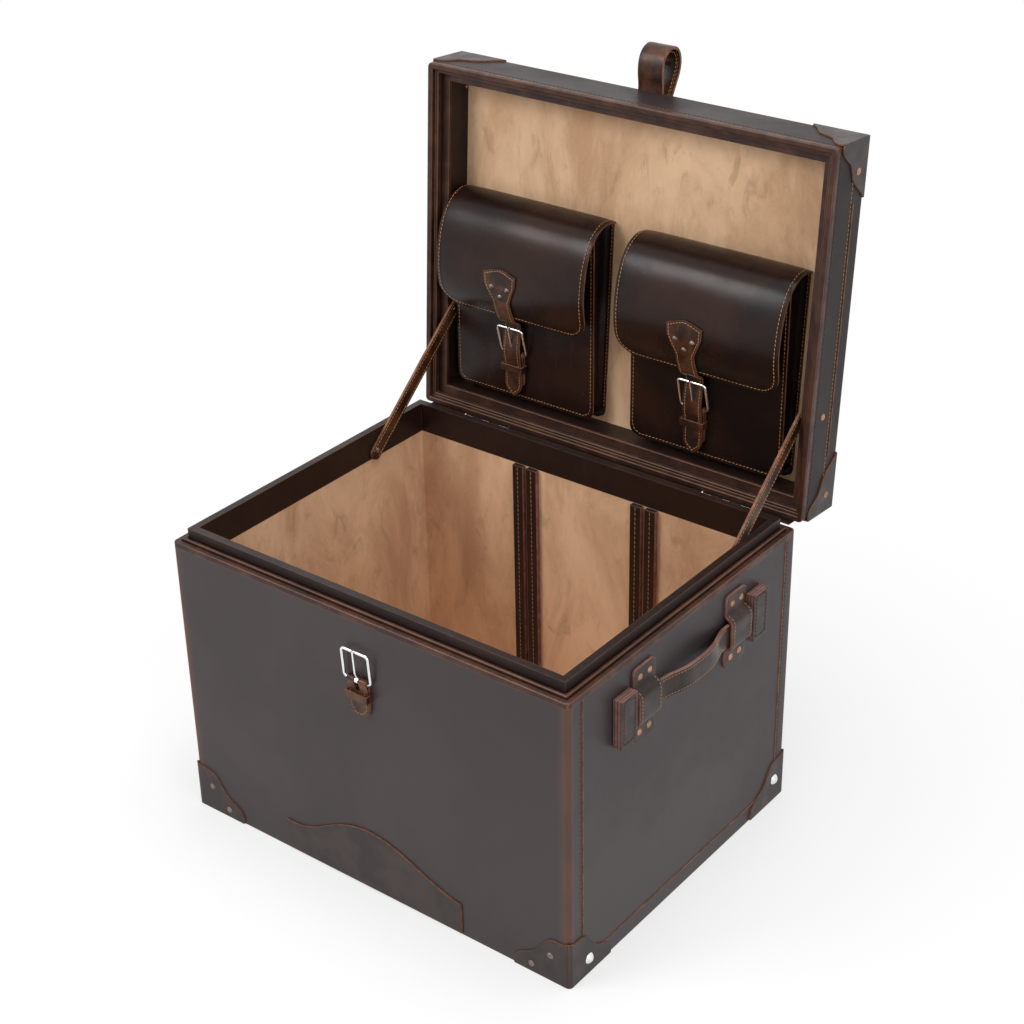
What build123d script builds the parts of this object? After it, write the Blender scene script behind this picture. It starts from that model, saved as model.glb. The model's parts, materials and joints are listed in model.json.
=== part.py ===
"""Leather-covered trunk with an open hinged lid, side handles, leather stays and two lid pockets.

Frame: +X to the right along the front, +Y to the back, +Z up, millimetres, origin on the floor at the
centre of the base. The lid is modelled closed and then turned open about the hinge pins.
"""
import os
from math import atan2, cos, degrees, hypot, radians, sin

from build123d import *

# Overall sizes
trunk_width = 500.0
trunk_depth = 392.0
base_height = 330.0
lid_height = 59.0
lid_open_angle = 94.0
edge_radius = 5.0

# Wall build-up
cover_thickness = 2.0
board_thickness = 11.0
inner_board_thickness = 5.5
lining_thickness = 1.5
bottom_board_thickness = 11.0
lid_board_thickness = 9.0
lid_wall_thickness = 7.5
lid_liner_thickness = 1.5

# Covers that wrap round the corners
front_wrap = 22.0
rear_wrap = 20.0
bottom_strip_height = 20.0

# Rim and collar
rim_depth = 6.0
binding_width = 6.5
bead_gap = 0.5
bead_rise = 2.5
bead_radius = 1.8
collar_rise = 13.0
collar_band_height = 34.0
collar_leather = 1.2
lid_gap = 0.3
lid_fit_clearance = 0.8
ledge_clearance = 1.0
ledge_bead_height = 3.0
lid_bead_height = 4.0

# Divider rails on the front and back inner walls
rail_width = 14.0
rail_depth = 6.0
rail_gap = 4.5
rail_pair_centre = 79.0

# Corner caps
cap_thickness = 1.8
cap_height = 55.0
cap_reach = 66.0
lid_cap_reach = 60.0
lid_cap_start = 12.0
rivet_radius = 3.6
rivet_dome = 1.5
rivet_shank_radius = 1.8
stud_radius = 6.0
stud_dome = 3.5

# Wavy patch on the front face
patch_half_width = 118.0
patch_end_height = 38.0
patch_peak_height = 74.0
patch_thickness = 1.8

# Handles on the side faces
handle_drop = 58.0
handle_loop_spacing = 160.0
loop_width = 36.0
loop_half_height = 42.0
loop_leather = 3.5
grip_height = 25.0
grip_leather = 4.0
grip_bow = 9.0
grip_wall_gap = 3.4
end_block_width = 26.0
end_block_height = 54.0
end_block_thickness = 10.4
block_loop_gap = 4.0
handle_travel = 3.5
handle_clearance = 0.6
handle_rivet_pitch = 16.0
handle_rivet_rise = 31.0

# Hinges on the back
hinge_centre = 160.0
hinge_length = 60.0
knuckle_radius = 5.0
knuckle_count = 5
knuckle_gap = 0.4
hinge_pin_radius = 2.2
pin_clearance = 0.05
leaf_thickness = 1.6
leaf_reach = 34.0
hinge_wall_gap = 0.3

# Stays between base and lid
stay_width = 16.0
stay_leather = 3.0
stay_base_setback = 99.0
stay_base_drop = 12.0
stay_lid_setback = 111.0
stay_lid_rise = 24.0
stay_end = 12.0
stay_wall_gap = 0.2

# Closing strap on the lid
strap_width = 30.0
strap_leather = 3.0
strap_root_length = 52.0
strap_rise = 32.0
strap_bend_radius = 9.0
strap_drop = 88.0
strap_tip = 16.0
strap_hole_radius = 2.0
strap_hole_pitch = 22.0

# Buckles: front closure and both pockets
buckle_width = 37.0
buckle_length = 37.0
wire_radius = 1.6
buckle_corner = 4.0
prong_radius = 1.1
tab_width = 24.0
tab_leather = 2.0
tab_length = 41.0
keeper_width = 8.0
keeper_leather = 2.0
keeper_offset = 17.0
keeper_slack = 1.6
heel_slot_width = 7.0
fold_clearance = 0.08
heel_slot_reach = 12.0
prong_width = 4.0
prong_eye = 1.5
front_buckle_drop = 70.0
front_buckle_tilt = 4.0
pocket_buckle_tilt = 14.0
prong_clearance = 0.5

# Pockets in the lid
pocket_side_margin = {"left": 8.0, "right": 23.0}
pocket_spacing = 49.0
pocket_strap_shift = -10.0
pocket_rear_margin = 6.0
pocket_length = 222.0
pocket_top_depth = 34.0
pocket_bottom_depth = 20.0
pocket_top_slant = 8.0
pocket_leather = 2.2
pocket_wall_gap = 0.2
flap_overhang = 4.5
flap_leather = 2.5
flap_corner = 26.0
flap_drop = 121.0
flap_bulge = 57.0
pocket_buckle_reach = 166.0
shield_width = 42.0
shield_reach = 60.0
shield_length = 39.0
shield_shoulder = 6.0
pocket_strap_width = 22.0
pocket_strap_leather = 2.2
pocket_strap_reach = 218.0
flap_rivet_radius = 3.0
flap_seam_gap = 1.5
flap_strap_gap = 0.3
flap_edge_run = 2.0
strap_heights = (
    (38, 7.0),
    (33, 5.6),
    (19, 6.8),
    (4, 8.3),
    (-7, 7.0),
    (-17, 5.0),
    (-28, 4.6),
    (-40, 4.6),
)

# Fasteners: reach is from the nearer corner, height is from the floor, drop is from the lid's top
front_cap_rivets = ((22.0, 31.0), (45.0, 9.5))
front_stud = (30.0, 18.0)
rear_stud = (20.0, 27.0)
lid_cap_rivet_drop = 15.0
lid_cap_rivet_reach = {-1: 31.0, 1: 18.0}
cap_rivet_shank = 7.0
handle_rivet_shank = 9.0
hinge_rivet_shank = 7.0
stay_rivet_shank = 9.0
strap_rivet_shank = 11.0
inner_head_radius = 2.3
inner_head_dome = 1.0

# Values worked out from those above
half_width = trunk_width / 2
half_depth = trunk_depth / 2
board_inset = cover_thickness
collar_inset = cover_thickness + board_thickness
inner_inset = collar_inset + inner_board_thickness
inside_inset = inner_inset + lining_thickness
wall_top = base_height - rim_depth
collar_top = base_height + collar_rise
collar_outer = collar_inset - collar_leather
band_bottom = collar_top - collar_band_height
floor_z = cover_thickness + bottom_board_thickness
lid_rim = base_height + lid_gap
lid_top = base_height + lid_height
lid_opening_inset = collar_outer - lid_fit_clearance
ledge_z = collar_top + ledge_clearance
panel_z = lid_top - cover_thickness - lid_board_thickness
lining_face_z = panel_z - lining_thickness
hinge_y = half_depth + knuckle_radius + hinge_wall_gap
hinge_z = base_height - knuckle_radius
loop_y = handle_loop_spacing / 2
handle_height = base_height - handle_drop
front_buckle_z = base_height - front_buckle_drop
stay_base_y = half_depth - stay_base_setback
stay_base_z = base_height - stay_base_drop
stay_lid_y = half_depth - stay_lid_setback
pocket_back_z = lining_face_z - pocket_wall_gap
lid_inside_half = half_width - inside_inset
pocket_margins = sum(pocket_side_margin.values()) + pocket_spacing
pocket_width = (2 * lid_inside_half - pocket_margins) / 2
pocket_centres = {
    "left": -lid_inside_half + pocket_side_margin["left"] + pocket_width / 2,
    "right": lid_inside_half - pocket_side_margin["right"] - pocket_width / 2,
}
pocket_bottom_y = half_depth - inside_inset - pocket_rear_margin
pocket_top_y = pocket_bottom_y - pocket_length
pocket_buckle_y = pocket_top_y + pocket_buckle_reach
shield_top_y = pocket_top_y + shield_reach
pocket_strap_tip_y = pocket_top_y + pocket_strap_reach
flap_width = pocket_width + 2 * flap_overhang

# Pieces by name; those of the lid are turned open before they are written
nodes = {}
lid_names = ("lid_", "closing_strap", "pocket_", "flap_", "hinge_lid_leaves")


def block(x_span, y_span, z_span):
    """A rectangular block between three pairs of limits."""
    spans = (x_span, y_span, z_span)
    centre = [(low + high) / 2 for low, high in spans]
    sizes = [high - low for low, high in spans]
    return Pos(*centre) * Box(*sizes)


def slab(inset, z_span, radius=0.0):
    """A full-plan slab, drawn in by an inset, with rounded vertical corners."""
    wide = trunk_width - 2 * inset
    deep = trunk_depth - 2 * inset
    if radius <= 0.05:
        return block((-wide / 2, wide / 2), (-deep / 2, deep / 2), z_span)
    outline = RectangleRounded(wide, deep, radius)
    return Pos(0, 0, z_span[0]) * extrude(outline, z_span[1] - z_span[0])


def frame_ring(outer, inner, z_span):
    """A rectangular ring between two insets, following the rounded trunk corners."""
    past = (z_span[0] - 1, z_span[1] + 1)
    return slab(outer, z_span, edge_radius - outer) - slab(inner, past, edge_radius - inner)


def bead_ring(outer, inner, z_span, radius, upper=True):
    """A rolled leather ring: its long edges are rounded along the top or the bottom."""
    ring = frame_ring(outer, inner, z_span)
    level = z_span[1] if upper else z_span[0]
    edges = [e for e in ring.edges() if abs(e.center().Z - level) < 0.01]
    room = min(inner - outer, z_span[1] - z_span[0]) / 2 - 0.1
    return fillet(edges, min(radius, room))


def four_walls(outer, inner, z_span):
    """Front, back, left and right boards: the front and back ones run the full width."""
    x_out = half_width - outer
    x_in = half_width - inner
    y_out = half_depth - outer
    y_in = half_depth - inner
    walls = {
        "front": block((-x_out, x_out), (-y_out, -y_in), z_span),
        "back": block((-x_out, x_out), (y_in, y_out), z_span),
        "left": block((-x_out, -x_in), (-y_in, y_in), z_span),
        "right": block((x_in, x_out), (-y_in, y_in), z_span),
    }
    if outer < edge_radius:
        for side in ("front", "back"):
            walls[side] &= slab(outer, z_span, edge_radius - outer)
    return walls


def profile_x(points, x_span):
    """A closed outline in Y and Z, pulled along X."""
    outline = Polyline(*[(x_span[0], y, z) for y, z in points], close=True)
    return extrude(make_face(outline), x_span[1] - x_span[0], dir=(1, 0, 0))


def band_outline(path, thickness, side=1.0):
    """Outline of a strip that follows a path of points, offset to one side by its thickness."""
    offset = []
    for i, (a, b) in enumerate(path):
        before = path[max(i - 1, 0)]
        after = path[min(i + 1, len(path) - 1)]
        run = (after[0] - before[0], after[1] - before[1])
        size = hypot(*run)
        offset.append((a - side * thickness * run[1] / size, b + side * thickness * run[0] / size))
    return list(path) + offset[::-1]


def strip_x(path, thickness, x_span, side=1.0):
    """A leather strip whose side view is a smooth path in Y and Z."""
    outline = band_outline(path, thickness, side)
    count = len(path)
    near = Spline(*[(x_span[0], y, z) for y, z in outline[:count]])
    far = Spline(*[(x_span[0], y, z) for y, z in outline[count:]])
    ends = [Line(near @ 1, far @ 0), Line(far @ 1, near @ 0)]
    face = make_face(Curve() + [near, far] + ends)
    return extrude(face, x_span[1] - x_span[0], dir=(1, 0, 0))


def group(solids):
    """Several separate solids kept together in one node."""
    return Compound(children=[s for item in solids for s in item.solids()])


def opened(shape):
    """Turn a lid piece from closed to the rest pose about the hinge pins."""
    turn = Pos(0, hinge_y, hinge_z) * Rot(-lid_open_angle, 0, 0) * Pos(0, -hinge_y, -hinge_z)
    return turn * shape


def rivet(place, shank, radius=0.0, dome=0.0, inner_head=False):
    """A domed rivet: its head sits on the surface at the place and its shank goes in behind it."""
    point, direction = place
    head_radius = radius or rivet_radius
    body = dome_head(head_radius, dome or rivet_dome)
    body += Pos(0, 0, -shank / 2) * Cylinder(rivet_shank_radius, shank)
    if inner_head:
        body += Pos(0, 0, -shank) * Rot(180, 0, 0) * dome_head(inner_head_radius, inner_head_dome)
    return Plane(point, z_dir=direction) * body


def dome_head(head_radius, rise):
    """A low dome standing on Z = 0."""
    sphere_radius = (head_radius ** 2 + rise ** 2) / (2 * rise)
    ball = Pos(0, 0, rise - sphere_radius) * Sphere(sphere_radius)
    return ball & Pos(0, 0, rise / 2) * Box(3 * head_radius, 3 * head_radius, rise)


def shank_hole(place, shank):
    """The hole for a rivet's shank, with a small clearance all round and at its end."""
    point, direction = place
    hole = Pos(0, 0, -shank / 2) * Cylinder(rivet_shank_radius + pin_clearance, shank + 2 * pin_clearance)
    return Plane(point, z_dir=direction) * hole


def boxes_meet(first, second):
    """True where the bounding boxes of two shapes meet."""
    a = first.bounding_box()
    b = second.bounding_box()
    apart = [a.min.X > b.max.X, b.min.X > a.max.X, a.min.Y > b.max.Y, b.min.Y > a.max.Y]
    apart += [a.min.Z > b.max.Z, b.min.Z > a.max.Z]
    return not any(apart)


def pierce(names, holes):
    """Cut these holes through each named node that they meet."""
    for name in names:
        solids = []
        for solid in nodes[name].solids():
            for hole in holes:
                if boxes_meet(solid, hole):
                    solid = solid - hole
            solids.append(solid)
        nodes[name] = group(solids)


def fasten(places, shank, names, **head):
    """Make rivets at these places and cut their holes through the named nodes."""
    pierce(names, [shank_hole(place, shank) for place in places])
    return [rivet(place, shank, **head) for place in places]


# Trunk body: boards, linings and covers

def trunk_boards():
    """The carcass, and the inner boards whose upper edges stand past the rim as a collar."""
    nodes["bottom_board"] = slab(board_inset, (cover_thickness, floor_z), edge_radius - board_inset)
    for side, wall in four_walls(board_inset, collar_inset, (floor_z, wall_top)).items():
        nodes[side + "_board"] = wall
    inner = four_walls(collar_inset, inner_inset, (floor_z, collar_top - collar_leather))
    nodes["inner_boards"] = group(inner.values())


def trunk_linings():
    """Suede on the floor and walls, collar leather over the inner boards, and the divider rails."""
    floor_lining = slab(inner_inset, (floor_z, floor_z + lining_thickness))
    wall_span = (floor_z + lining_thickness, band_bottom)
    walls = four_walls(inner_inset, inside_inset, wall_span)
    nodes["suede_lining"] = group([floor_lining, *walls.values()])
    collar = frame_ring(inner_inset, inside_inset, (band_bottom, collar_top))
    collar += frame_ring(collar_outer, inside_inset, (collar_top - collar_leather, collar_top))
    collar += frame_ring(collar_outer, collar_inset, (wall_top, collar_top))
    nodes["collar_leather"] = collar
    rails = []
    for pair in (-rail_pair_centre, rail_pair_centre):
        for step in (-0.5, 0.5):
            x = pair + step * (rail_width + rail_gap)
            for side in (-1, 1):
                near = side * (half_depth - inside_inset)
                spans = sorted((near, near - side * rail_depth))
                low = floor_z + lining_thickness
                rails.append(block((x - rail_width / 2, x + rail_width / 2), spans, (low, band_bottom)))
    nodes["divider_rails"] = group(rails)


def wrapped_covers(z_span, strip_z):
    """Front and back leathers that wrap the corners, and side leathers between them."""
    skin = frame_ring(0, cover_thickness, z_span)
    wide = (-half_width - 1, half_width + 1)
    front_edge = -half_depth + front_wrap
    rear_edge = half_depth - rear_wrap
    front = skin & block(wide, (-half_depth - 1, front_edge), z_span)
    back = skin & block(wide, (rear_edge, half_depth + 1), z_span)
    side_span = (strip_z, z_span[1])
    left = skin & block((-half_width - 1, 0), (front_edge, rear_edge), side_span)
    right = skin & block((0, half_width + 1), (front_edge, rear_edge), side_span)
    return front, back, left, right


def trunk_covers():
    """Outer leathers: the bottom one turns up both sides as a strip."""
    span = (cover_thickness, wall_top)
    front, back, left, right = wrapped_covers(span, bottom_strip_height)
    nodes["front_cover"] = front
    nodes["back_cover"] = back
    nodes["left_cover"] = left
    nodes["right_cover"] = right
    side_y = (-half_depth + front_wrap, half_depth - rear_wrap)
    strip_z = (cover_thickness, bottom_strip_height)
    bottom = slab(0, (0, cover_thickness), edge_radius)
    for side in (-1, 1):
        spans = sorted((side * half_width, side * (half_width - cover_thickness)))
        bottom += block(spans, side_y, strip_z)
    nodes["bottom_cover"] = bottom


def trunk_rim():
    """The rolled binding on the outer edge and the second bead beside the collar."""
    binding = bead_ring(0, binding_width, (wall_top, base_height), bead_radius)
    bead_outer = binding_width + bead_gap
    bead_inner = collar_outer - bead_gap
    bead = bead_ring(bead_outer, bead_inner, (wall_top, base_height + bead_rise), bead_radius)
    nodes["rim_beads"] = group([binding, bead])


# Corner caps and their fasteners

def cap_outline(reach, height):
    """The cap's edge on one face, as distances from the corner edge and from the bottom edge."""
    return [
        (0, height),
        (0.15 * reach, 0.93 * height),
        (0.33 * reach, 0.91 * height),
        (0.53 * reach, 0.67 * height),
        (0.70 * reach, 0.44 * height),
        (0.92 * reach, 0.29 * height),
        (reach, 0),
    ]


def cap_leaf(outline, plane):
    """One leaf of a cap, as a flat piece with its free edge drawn as a smooth curve."""
    curve = Spline(*outline)
    sides = [Line(curve @ 1, (0, 0)), Line((0, 0), curve @ 0)]
    return extrude(plane * make_face(Curve() + [curve] + sides), cap_thickness)


def base_cap(x_side, y_side):
    """A cap over a bottom corner: a leaf on the front or back, and one on the side."""
    corner = (x_side * half_width, y_side * half_depth, 0)
    along_x = Plane(corner, x_dir=(-x_side, 0, 0), z_dir=(0, y_side, 0))
    along_y = Plane(corner, x_dir=(0, -y_side, 0), z_dir=(x_side, 0, 0))
    leaves = []
    for plane in (along_x, along_y):
        up = 1 if plane.y_dir.Z > 0 else -1
        outline = [(u, up * v) for u, v in cap_outline(cap_reach, cap_height)]
        leaves.append(cap_leaf(outline, plane))
    edge = block(
        sorted((corner[0], corner[0] + x_side * cap_thickness)),
        sorted((corner[1], corner[1] + y_side * cap_thickness)),
        (0, cap_height),
    )
    cap = leaves[0] + leaves[1] + edge
    rounding = [e for e in cap.edges() if is_corner_edge(e, x_side, y_side)]
    return fillet(rounding, edge_radius) if rounding else cap


def is_corner_edge(edge, x_side, y_side):
    """True for the upright outer edge of a cap."""
    middle = edge.center()
    on_x = abs(middle.X - x_side * (half_width + cap_thickness)) < 0.01
    on_y = abs(middle.Y - y_side * (half_depth + cap_thickness)) < 0.01
    return on_x and on_y and edge.length > 10


def face_point(side, along, height, out=0.0):
    """A point on a side of the trunk and that side's outward direction."""
    if side == "front":
        return (along, -half_depth - out, height), (0, -1, 0)
    if side == "back":
        return (along, half_depth + out, height), (0, 1, 0)
    if side == "left":
        return (-half_width - out, along, height), (-1, 0, 0)
    return (half_width + out, along, height), (1, 0, 0)


def cap_fastener_places():
    """Places of the rivets on the front and back leaves, and of the dome studs on the side leaves."""
    rivets = []
    studs = []
    for x_side, side in ((-1, "left"), (1, "right")):
        for y_side, face, stud in ((-1, "front", front_stud), (1, "back", rear_stud)):
            for reach, height in front_cap_rivets:
                rivets.append(face_point(face, x_side * (half_width - reach), height, cap_thickness))
            along = y_side * (half_depth - stud[0])
            studs.append(face_point(side, along, stud[1], cap_thickness))
    return rivets, studs


def trunk_caps():
    """Four caps over the bottom corners."""
    for x_side, x_name in ((-1, "left"), (1, "right")):
        for y_side, y_name in ((-1, "front"), (1, "rear")):
            nodes["cap_" + y_name + "_" + x_name] = base_cap(x_side, y_side)


def front_patch():
    """The wavy-topped leather patch along the front's lower edge, left plain."""
    low = patch_end_height
    rise = patch_peak_height - patch_end_height
    half = patch_half_width
    points = [
        (-half, low),
        (-0.70 * half, low + 0.14 * rise),
        (-0.38 * half, low + 0.70 * rise),
        (0, low + rise),
        (0.38 * half, low + 0.72 * rise),
        (0.72 * half, low + 0.24 * rise),
        (half, low),
    ]
    bottom = cover_thickness
    face_y = -half_depth
    crest = Spline(*[(x, face_y, z) for x, z in points])
    sides = Polyline(crest @ 1, (half, face_y, bottom), (-half, face_y, bottom), crest @ 0)
    patch = make_face(Curve() + [crest] + list(sides.edges()))
    nodes["front_patch"] = extrude(patch, patch_thickness, dir=(0, -1, 0))


# Buckle assembly, drawn flat: X across, Y towards the buckle's far bar, Z out from the mounting face.
# The heel bar lies at Y = 0.

def heel_height():
    """Height of the heel bar's centre over the mounting face."""
    return tab_leather + wire_radius + fold_clearance


def buckle_frame(tilt):
    """A rounded wire frame, tilted so that its far bar stands clear of the strap."""
    wide = buckle_width - 2 * wire_radius
    length = buckle_length - 2 * wire_radius
    path = RectangleRounded(wide, length, buckle_corner).face().outer_wire()
    wire = sweep(path=path, sections=Plane(path @ 0, z_dir=path % 0) * Circle(wire_radius))
    wire = Pos(0, length / 2, 0) * wire
    return Pos(0, 0, heel_height()) * Rot(tilt, 0, 0) * wire


def buckle_prong(tilt, strap_height=0.0):
    """A prong that loops round the heel bar and rests on the far bar."""
    eye_inner = wire_radius + pin_clearance
    eye = Rot(0, 90, 0) * (Cylinder(eye_inner + prong_eye, prong_width) - Cylinder(eye_inner, 2 * prong_width))
    reach = buckle_length - 2 * wire_radius
    lift = wire_radius + prong_radius + 0.05
    start = (0, eye_inner + prong_eye * 0.5, 0.0)
    knee = (0, reach * 0.3, lift)
    tip = (0, reach + wire_radius + 1.5, lift)
    shaft_path = FilletPolyline(start, knee, tip, radius=6.0)
    section = Plane(shaft_path @ 0, z_dir=shaft_path % 0) * Circle(prong_radius)
    shaft = sweep(path=shaft_path, sections=section)
    shaft -= Rot(0, 90, 0) * Cylinder(eye_inner, 4 * prong_width)
    return Pos(0, 0, heel_height()) * Rot(tilt, 0, 0) * (eye + shaft)


def buckle_tab():
    """Leather folded round the heel bar, slotted for the prong, lying flat behind it."""
    bar = wire_radius + fold_clearance
    top = 2 * tab_leather + 2 * bar
    roll = Rot(0, 90, 0) * Cylinder(bar + tab_leather, tab_width)
    body = Pos(0, 0, heel_height()) * roll
    under = block((-tab_width / 2, tab_width / 2), (-tab_length, 0), (0, tab_leather))
    upper_path = [
        (-tab_length, tab_leather),
        (-tab_length * 0.45, tab_leather),
        (-tab_length * 0.22, tab_leather + 1.2),
        (0, top - tab_leather),
    ]
    upper = profile_x(band_outline(upper_path, tab_leather), (-tab_width / 2, tab_width / 2))
    body = body + under + upper
    body &= block((-tab_width / 2, tab_width / 2), (-tab_length, bar + tab_leather + 1), (0, top))
    body -= Pos(0, 0, heel_height()) * Rot(0, 90, 0) * Cylinder(bar, tab_width + 2)
    slot = block(
        (-heel_slot_width / 2, heel_slot_width / 2),
        (-heel_slot_reach, bar + tab_leather + 2),
        (-1, top + 2),
    )
    body -= slot
    rounded = [e for e in body.edges().filter_by(Axis.Z) if e.center().Y < -tab_length + 1]
    return fillet(rounded, tab_width * 0.32)


def keeper(strap_room):
    """A leather loop round the tab, with room for the strap's end."""
    inner_half = tab_width / 2 + handle_clearance
    inner_top = 2 * tab_leather + strap_room + handle_clearance
    y_span = (-keeper_offset - keeper_width / 2, -keeper_offset + keeper_width / 2)
    outer = block(
        (-inner_half - keeper_leather, inner_half + keeper_leather), y_span, (0, inner_top + keeper_leather)
    )
    past = (y_span[0] - 1, y_span[1] + 1)
    return outer - block((-inner_half, inner_half), past, (-1, inner_top))


def front_closure():
    """Tab, keeper, frame and prong on the front face, with the frame standing up as it is left."""
    place = Plane((0, -half_depth, front_buckle_z), x_dir=(1, 0, 0), z_dir=(0, -1, 0))
    nodes["front_buckle_tab"] = place * buckle_tab()
    nodes["front_keeper"] = place * keeper(pocket_strap_leather)
    nodes["front_buckle_frame"] = place * buckle_frame(front_buckle_tilt)
    nodes["front_prong"] = place * buckle_prong(front_buckle_tilt)


# Handles

def handle_loop(side, y):
    """A strap loop riveted above and below the grip and arched over it."""
    inner = grip_wall_gap + grip_leather + handle_clearance
    half_room = grip_height / 2 + handle_clearance
    arch = half_room + 4.0
    x = side * half_width
    outline = [
        (x, -loop_half_height),
        (x + side * loop_leather, -loop_half_height),
        (x + side * loop_leather, -arch - 3),
        (x + side * (inner + loop_leather), -half_room + 2),
        (x + side * (inner + loop_leather), half_room - 2),
        (x + side * loop_leather, arch + 3),
        (x + side * loop_leather, loop_half_height),
        (x, loop_half_height),
        (x, arch - 1),
        (x + side * inner, half_room),
        (x + side * inner, -half_room),
        (x, -arch + 1),
    ]
    points = [(px, y - loop_width / 2, handle_height + pz) for px, pz in outline]
    return extrude(make_face(Polyline(*points, close=True)), loop_width, dir=(0, 1, 0))


def handle_grip(side):
    """The grip strap, bowed outward between the loops, with a stacked leather block at each end."""
    reach = loop_y + loop_width / 2 + block_loop_gap
    end = reach + end_block_width
    inner = grip_wall_gap
    bow_end = loop_y - loop_width / 2 - handle_travel - 1.0
    mid = [
        (-bow_end, inner),
        (-bow_end * 0.5, inner + grip_bow * 0.72),
        (0, inner + grip_bow),
        (bow_end * 0.5, inner + grip_bow * 0.72),
        (bow_end, inner),
    ]
    x = side * half_width
    low = handle_height - grip_height / 2
    back = Spline(*[(x + side * off, y, low) for y, off in mid], tangents=[(0, 1, 0), (0, 1, 0)])
    outer_points = [(x + side * (off + grip_leather), y, low) for y, off in mid]
    front = Spline(*outer_points, tangents=[(0, 1, 0), (0, 1, 0)])
    face = make_face(Curve() + [back, front, Line(back @ 0, front @ 0), Line(back @ 1, front @ 1)])
    grip = extrude(face, grip_height, dir=(0, 0, 1))
    for way in (-1, 1):
        spans = sorted((way * bow_end, way * end))
        depth = sorted((x + side * inner, x + side * (inner + grip_leather)))
        grip += block(depth, spans, (low, low + grip_height))
        block_y = sorted((way * reach, way * end))
        block_x = sorted((x + side * handle_clearance, x + side * (handle_clearance + end_block_thickness)))
        half = end_block_height / 2
        grip += block(block_x, block_y, (handle_height - half, handle_height + half))
    return grip


def handles():
    """Loops and grips on both sides, and the loops' rivet places."""
    loops = []
    places = []
    for side, name in ((-1, "left"), (1, "right")):
        for y in (-loop_y, loop_y):
            loops.append(handle_loop(side, y))
            for dy in (-handle_rivet_pitch / 2, handle_rivet_pitch / 2):
                for dz in (-handle_rivet_rise, handle_rivet_rise):
                    places.append(face_point(name, y + dy, handle_height + dz, loop_leather))
        nodes["handle_grip_" + name] = handle_grip(side)
    nodes["handle_loops"] = group(loops)
    return places


# Hinges

def hinge_leaf(centre, upper):
    """One leaf with its knuckles: the base leaf carries the outer ones, the lid leaf the rest."""
    pitch = hinge_length / knuckle_count
    start = centre - hinge_length / 2
    way = 1 if upper else -1
    leaf_y = (half_depth, half_depth + leaf_thickness)
    clear = knuckle_radius + 2 * knuckle_gap
    ends = sorted((hinge_z + way * clear, hinge_z + way * (knuckle_radius + leaf_reach)))
    leaf = block((start, start + hinge_length), leaf_y, ends)
    for i in range(knuckle_count):
        if (i % 2 == 1) != upper:
            continue
        low = start + i * pitch + (knuckle_gap / 2 if i else 0)
        high = start + (i + 1) * pitch - (knuckle_gap / 2 if i < knuckle_count - 1 else 0)
        middle = (low + high) / 2
        knuckle = Pos(middle, hinge_y, hinge_z) * Rot(0, 90, 0) * Cylinder(knuckle_radius, high - low)
        reach = sorted((hinge_z, hinge_z + way * (clear + 1)))
        neck = block((low, high), (leaf_y[0], leaf_y[1]), reach)
        neck += block((low, high), (leaf_y[0], hinge_y), sorted((hinge_z, hinge_z + way * knuckle_radius * 0.8)))
        bound = Pos(middle, hinge_y, hinge_z) * Rot(0, 90, 0) * Cylinder(knuckle_radius, high - low)
        inner = neck & block((low, high), (leaf_y[0], leaf_y[1]), reach)
        leaf += inner + knuckle + (neck & bound)
    bore = Pos(centre, hinge_y, hinge_z) * Rot(0, 90, 0)
    return leaf - bore * Cylinder(hinge_pin_radius + (pin_clearance if upper else 0), hinge_length + 2)


def hinges():
    """Two hinges, and the places of their rivets on the base and on the lid."""
    centres = (-hinge_centre, hinge_centre)
    nodes["hinge_base_leaves"] = group([hinge_leaf(c, False) for c in centres])
    nodes["hinge_lid_leaves"] = group([hinge_leaf(c, True) for c in centres])
    bar = Rot(0, 90, 0) * Cylinder(hinge_pin_radius, hinge_length)
    nodes["hinge_pins"] = group([Pos(c, hinge_y, hinge_z) * bar for c in centres])
    base_places = []
    lid_places = []
    for centre in centres:
        for dx in (-0.33 * hinge_length, 0, 0.33 * hinge_length):
            rise = knuckle_radius + leaf_reach * 0.6
            base_places.append(face_point("back", centre + dx, hinge_z - rise, leaf_thickness))
            lid_places.append(face_point("back", centre + dx, hinge_z + rise, leaf_thickness))
    return base_places, lid_places


# Stays

def stay_points():
    """Where a stay is riveted: on the base and, turned open, on the lid."""
    lid_z = lid_top - stay_lid_rise - cover_thickness - lid_board_thickness
    turn = radians(lid_open_angle)
    dy = stay_lid_y - hinge_y
    dz = lid_z - hinge_z
    lid_point = (hinge_y + cos(turn) * dy + sin(turn) * dz, hinge_z - sin(turn) * dy + cos(turn) * dz)
    return (stay_base_y, stay_base_z), lid_point, (stay_lid_y, lid_z)


def stays():
    """A flat stitched strap on each side from the collar to the lid wall."""
    start, end, _ = stay_points()
    length = hypot(end[0] - start[0], end[1] - start[1]) + 2 * stay_end
    angle = degrees(atan2(end[1] - start[1], end[0] - start[0]))
    middle = ((start[0] + end[0]) / 2, (start[1] + end[1]) / 2)
    face = half_width - inside_inset
    for side, name in ((-1, "left"), (1, "right")):
        x = side * (face - stay_leather / 2 - stay_wall_gap)
        outline = RectangleRounded(length, stay_width, stay_width / 2 - 0.5)
        strap = Pos(0, 0, -stay_leather / 2) * extrude(outline, stay_leather)
        plane = Plane((x, middle[0], middle[1]), x_dir=(0, cos(radians(angle)), sin(radians(angle))), z_dir=(1, 0, 0))
        nodes["stay_" + name] = plane * strap


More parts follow.
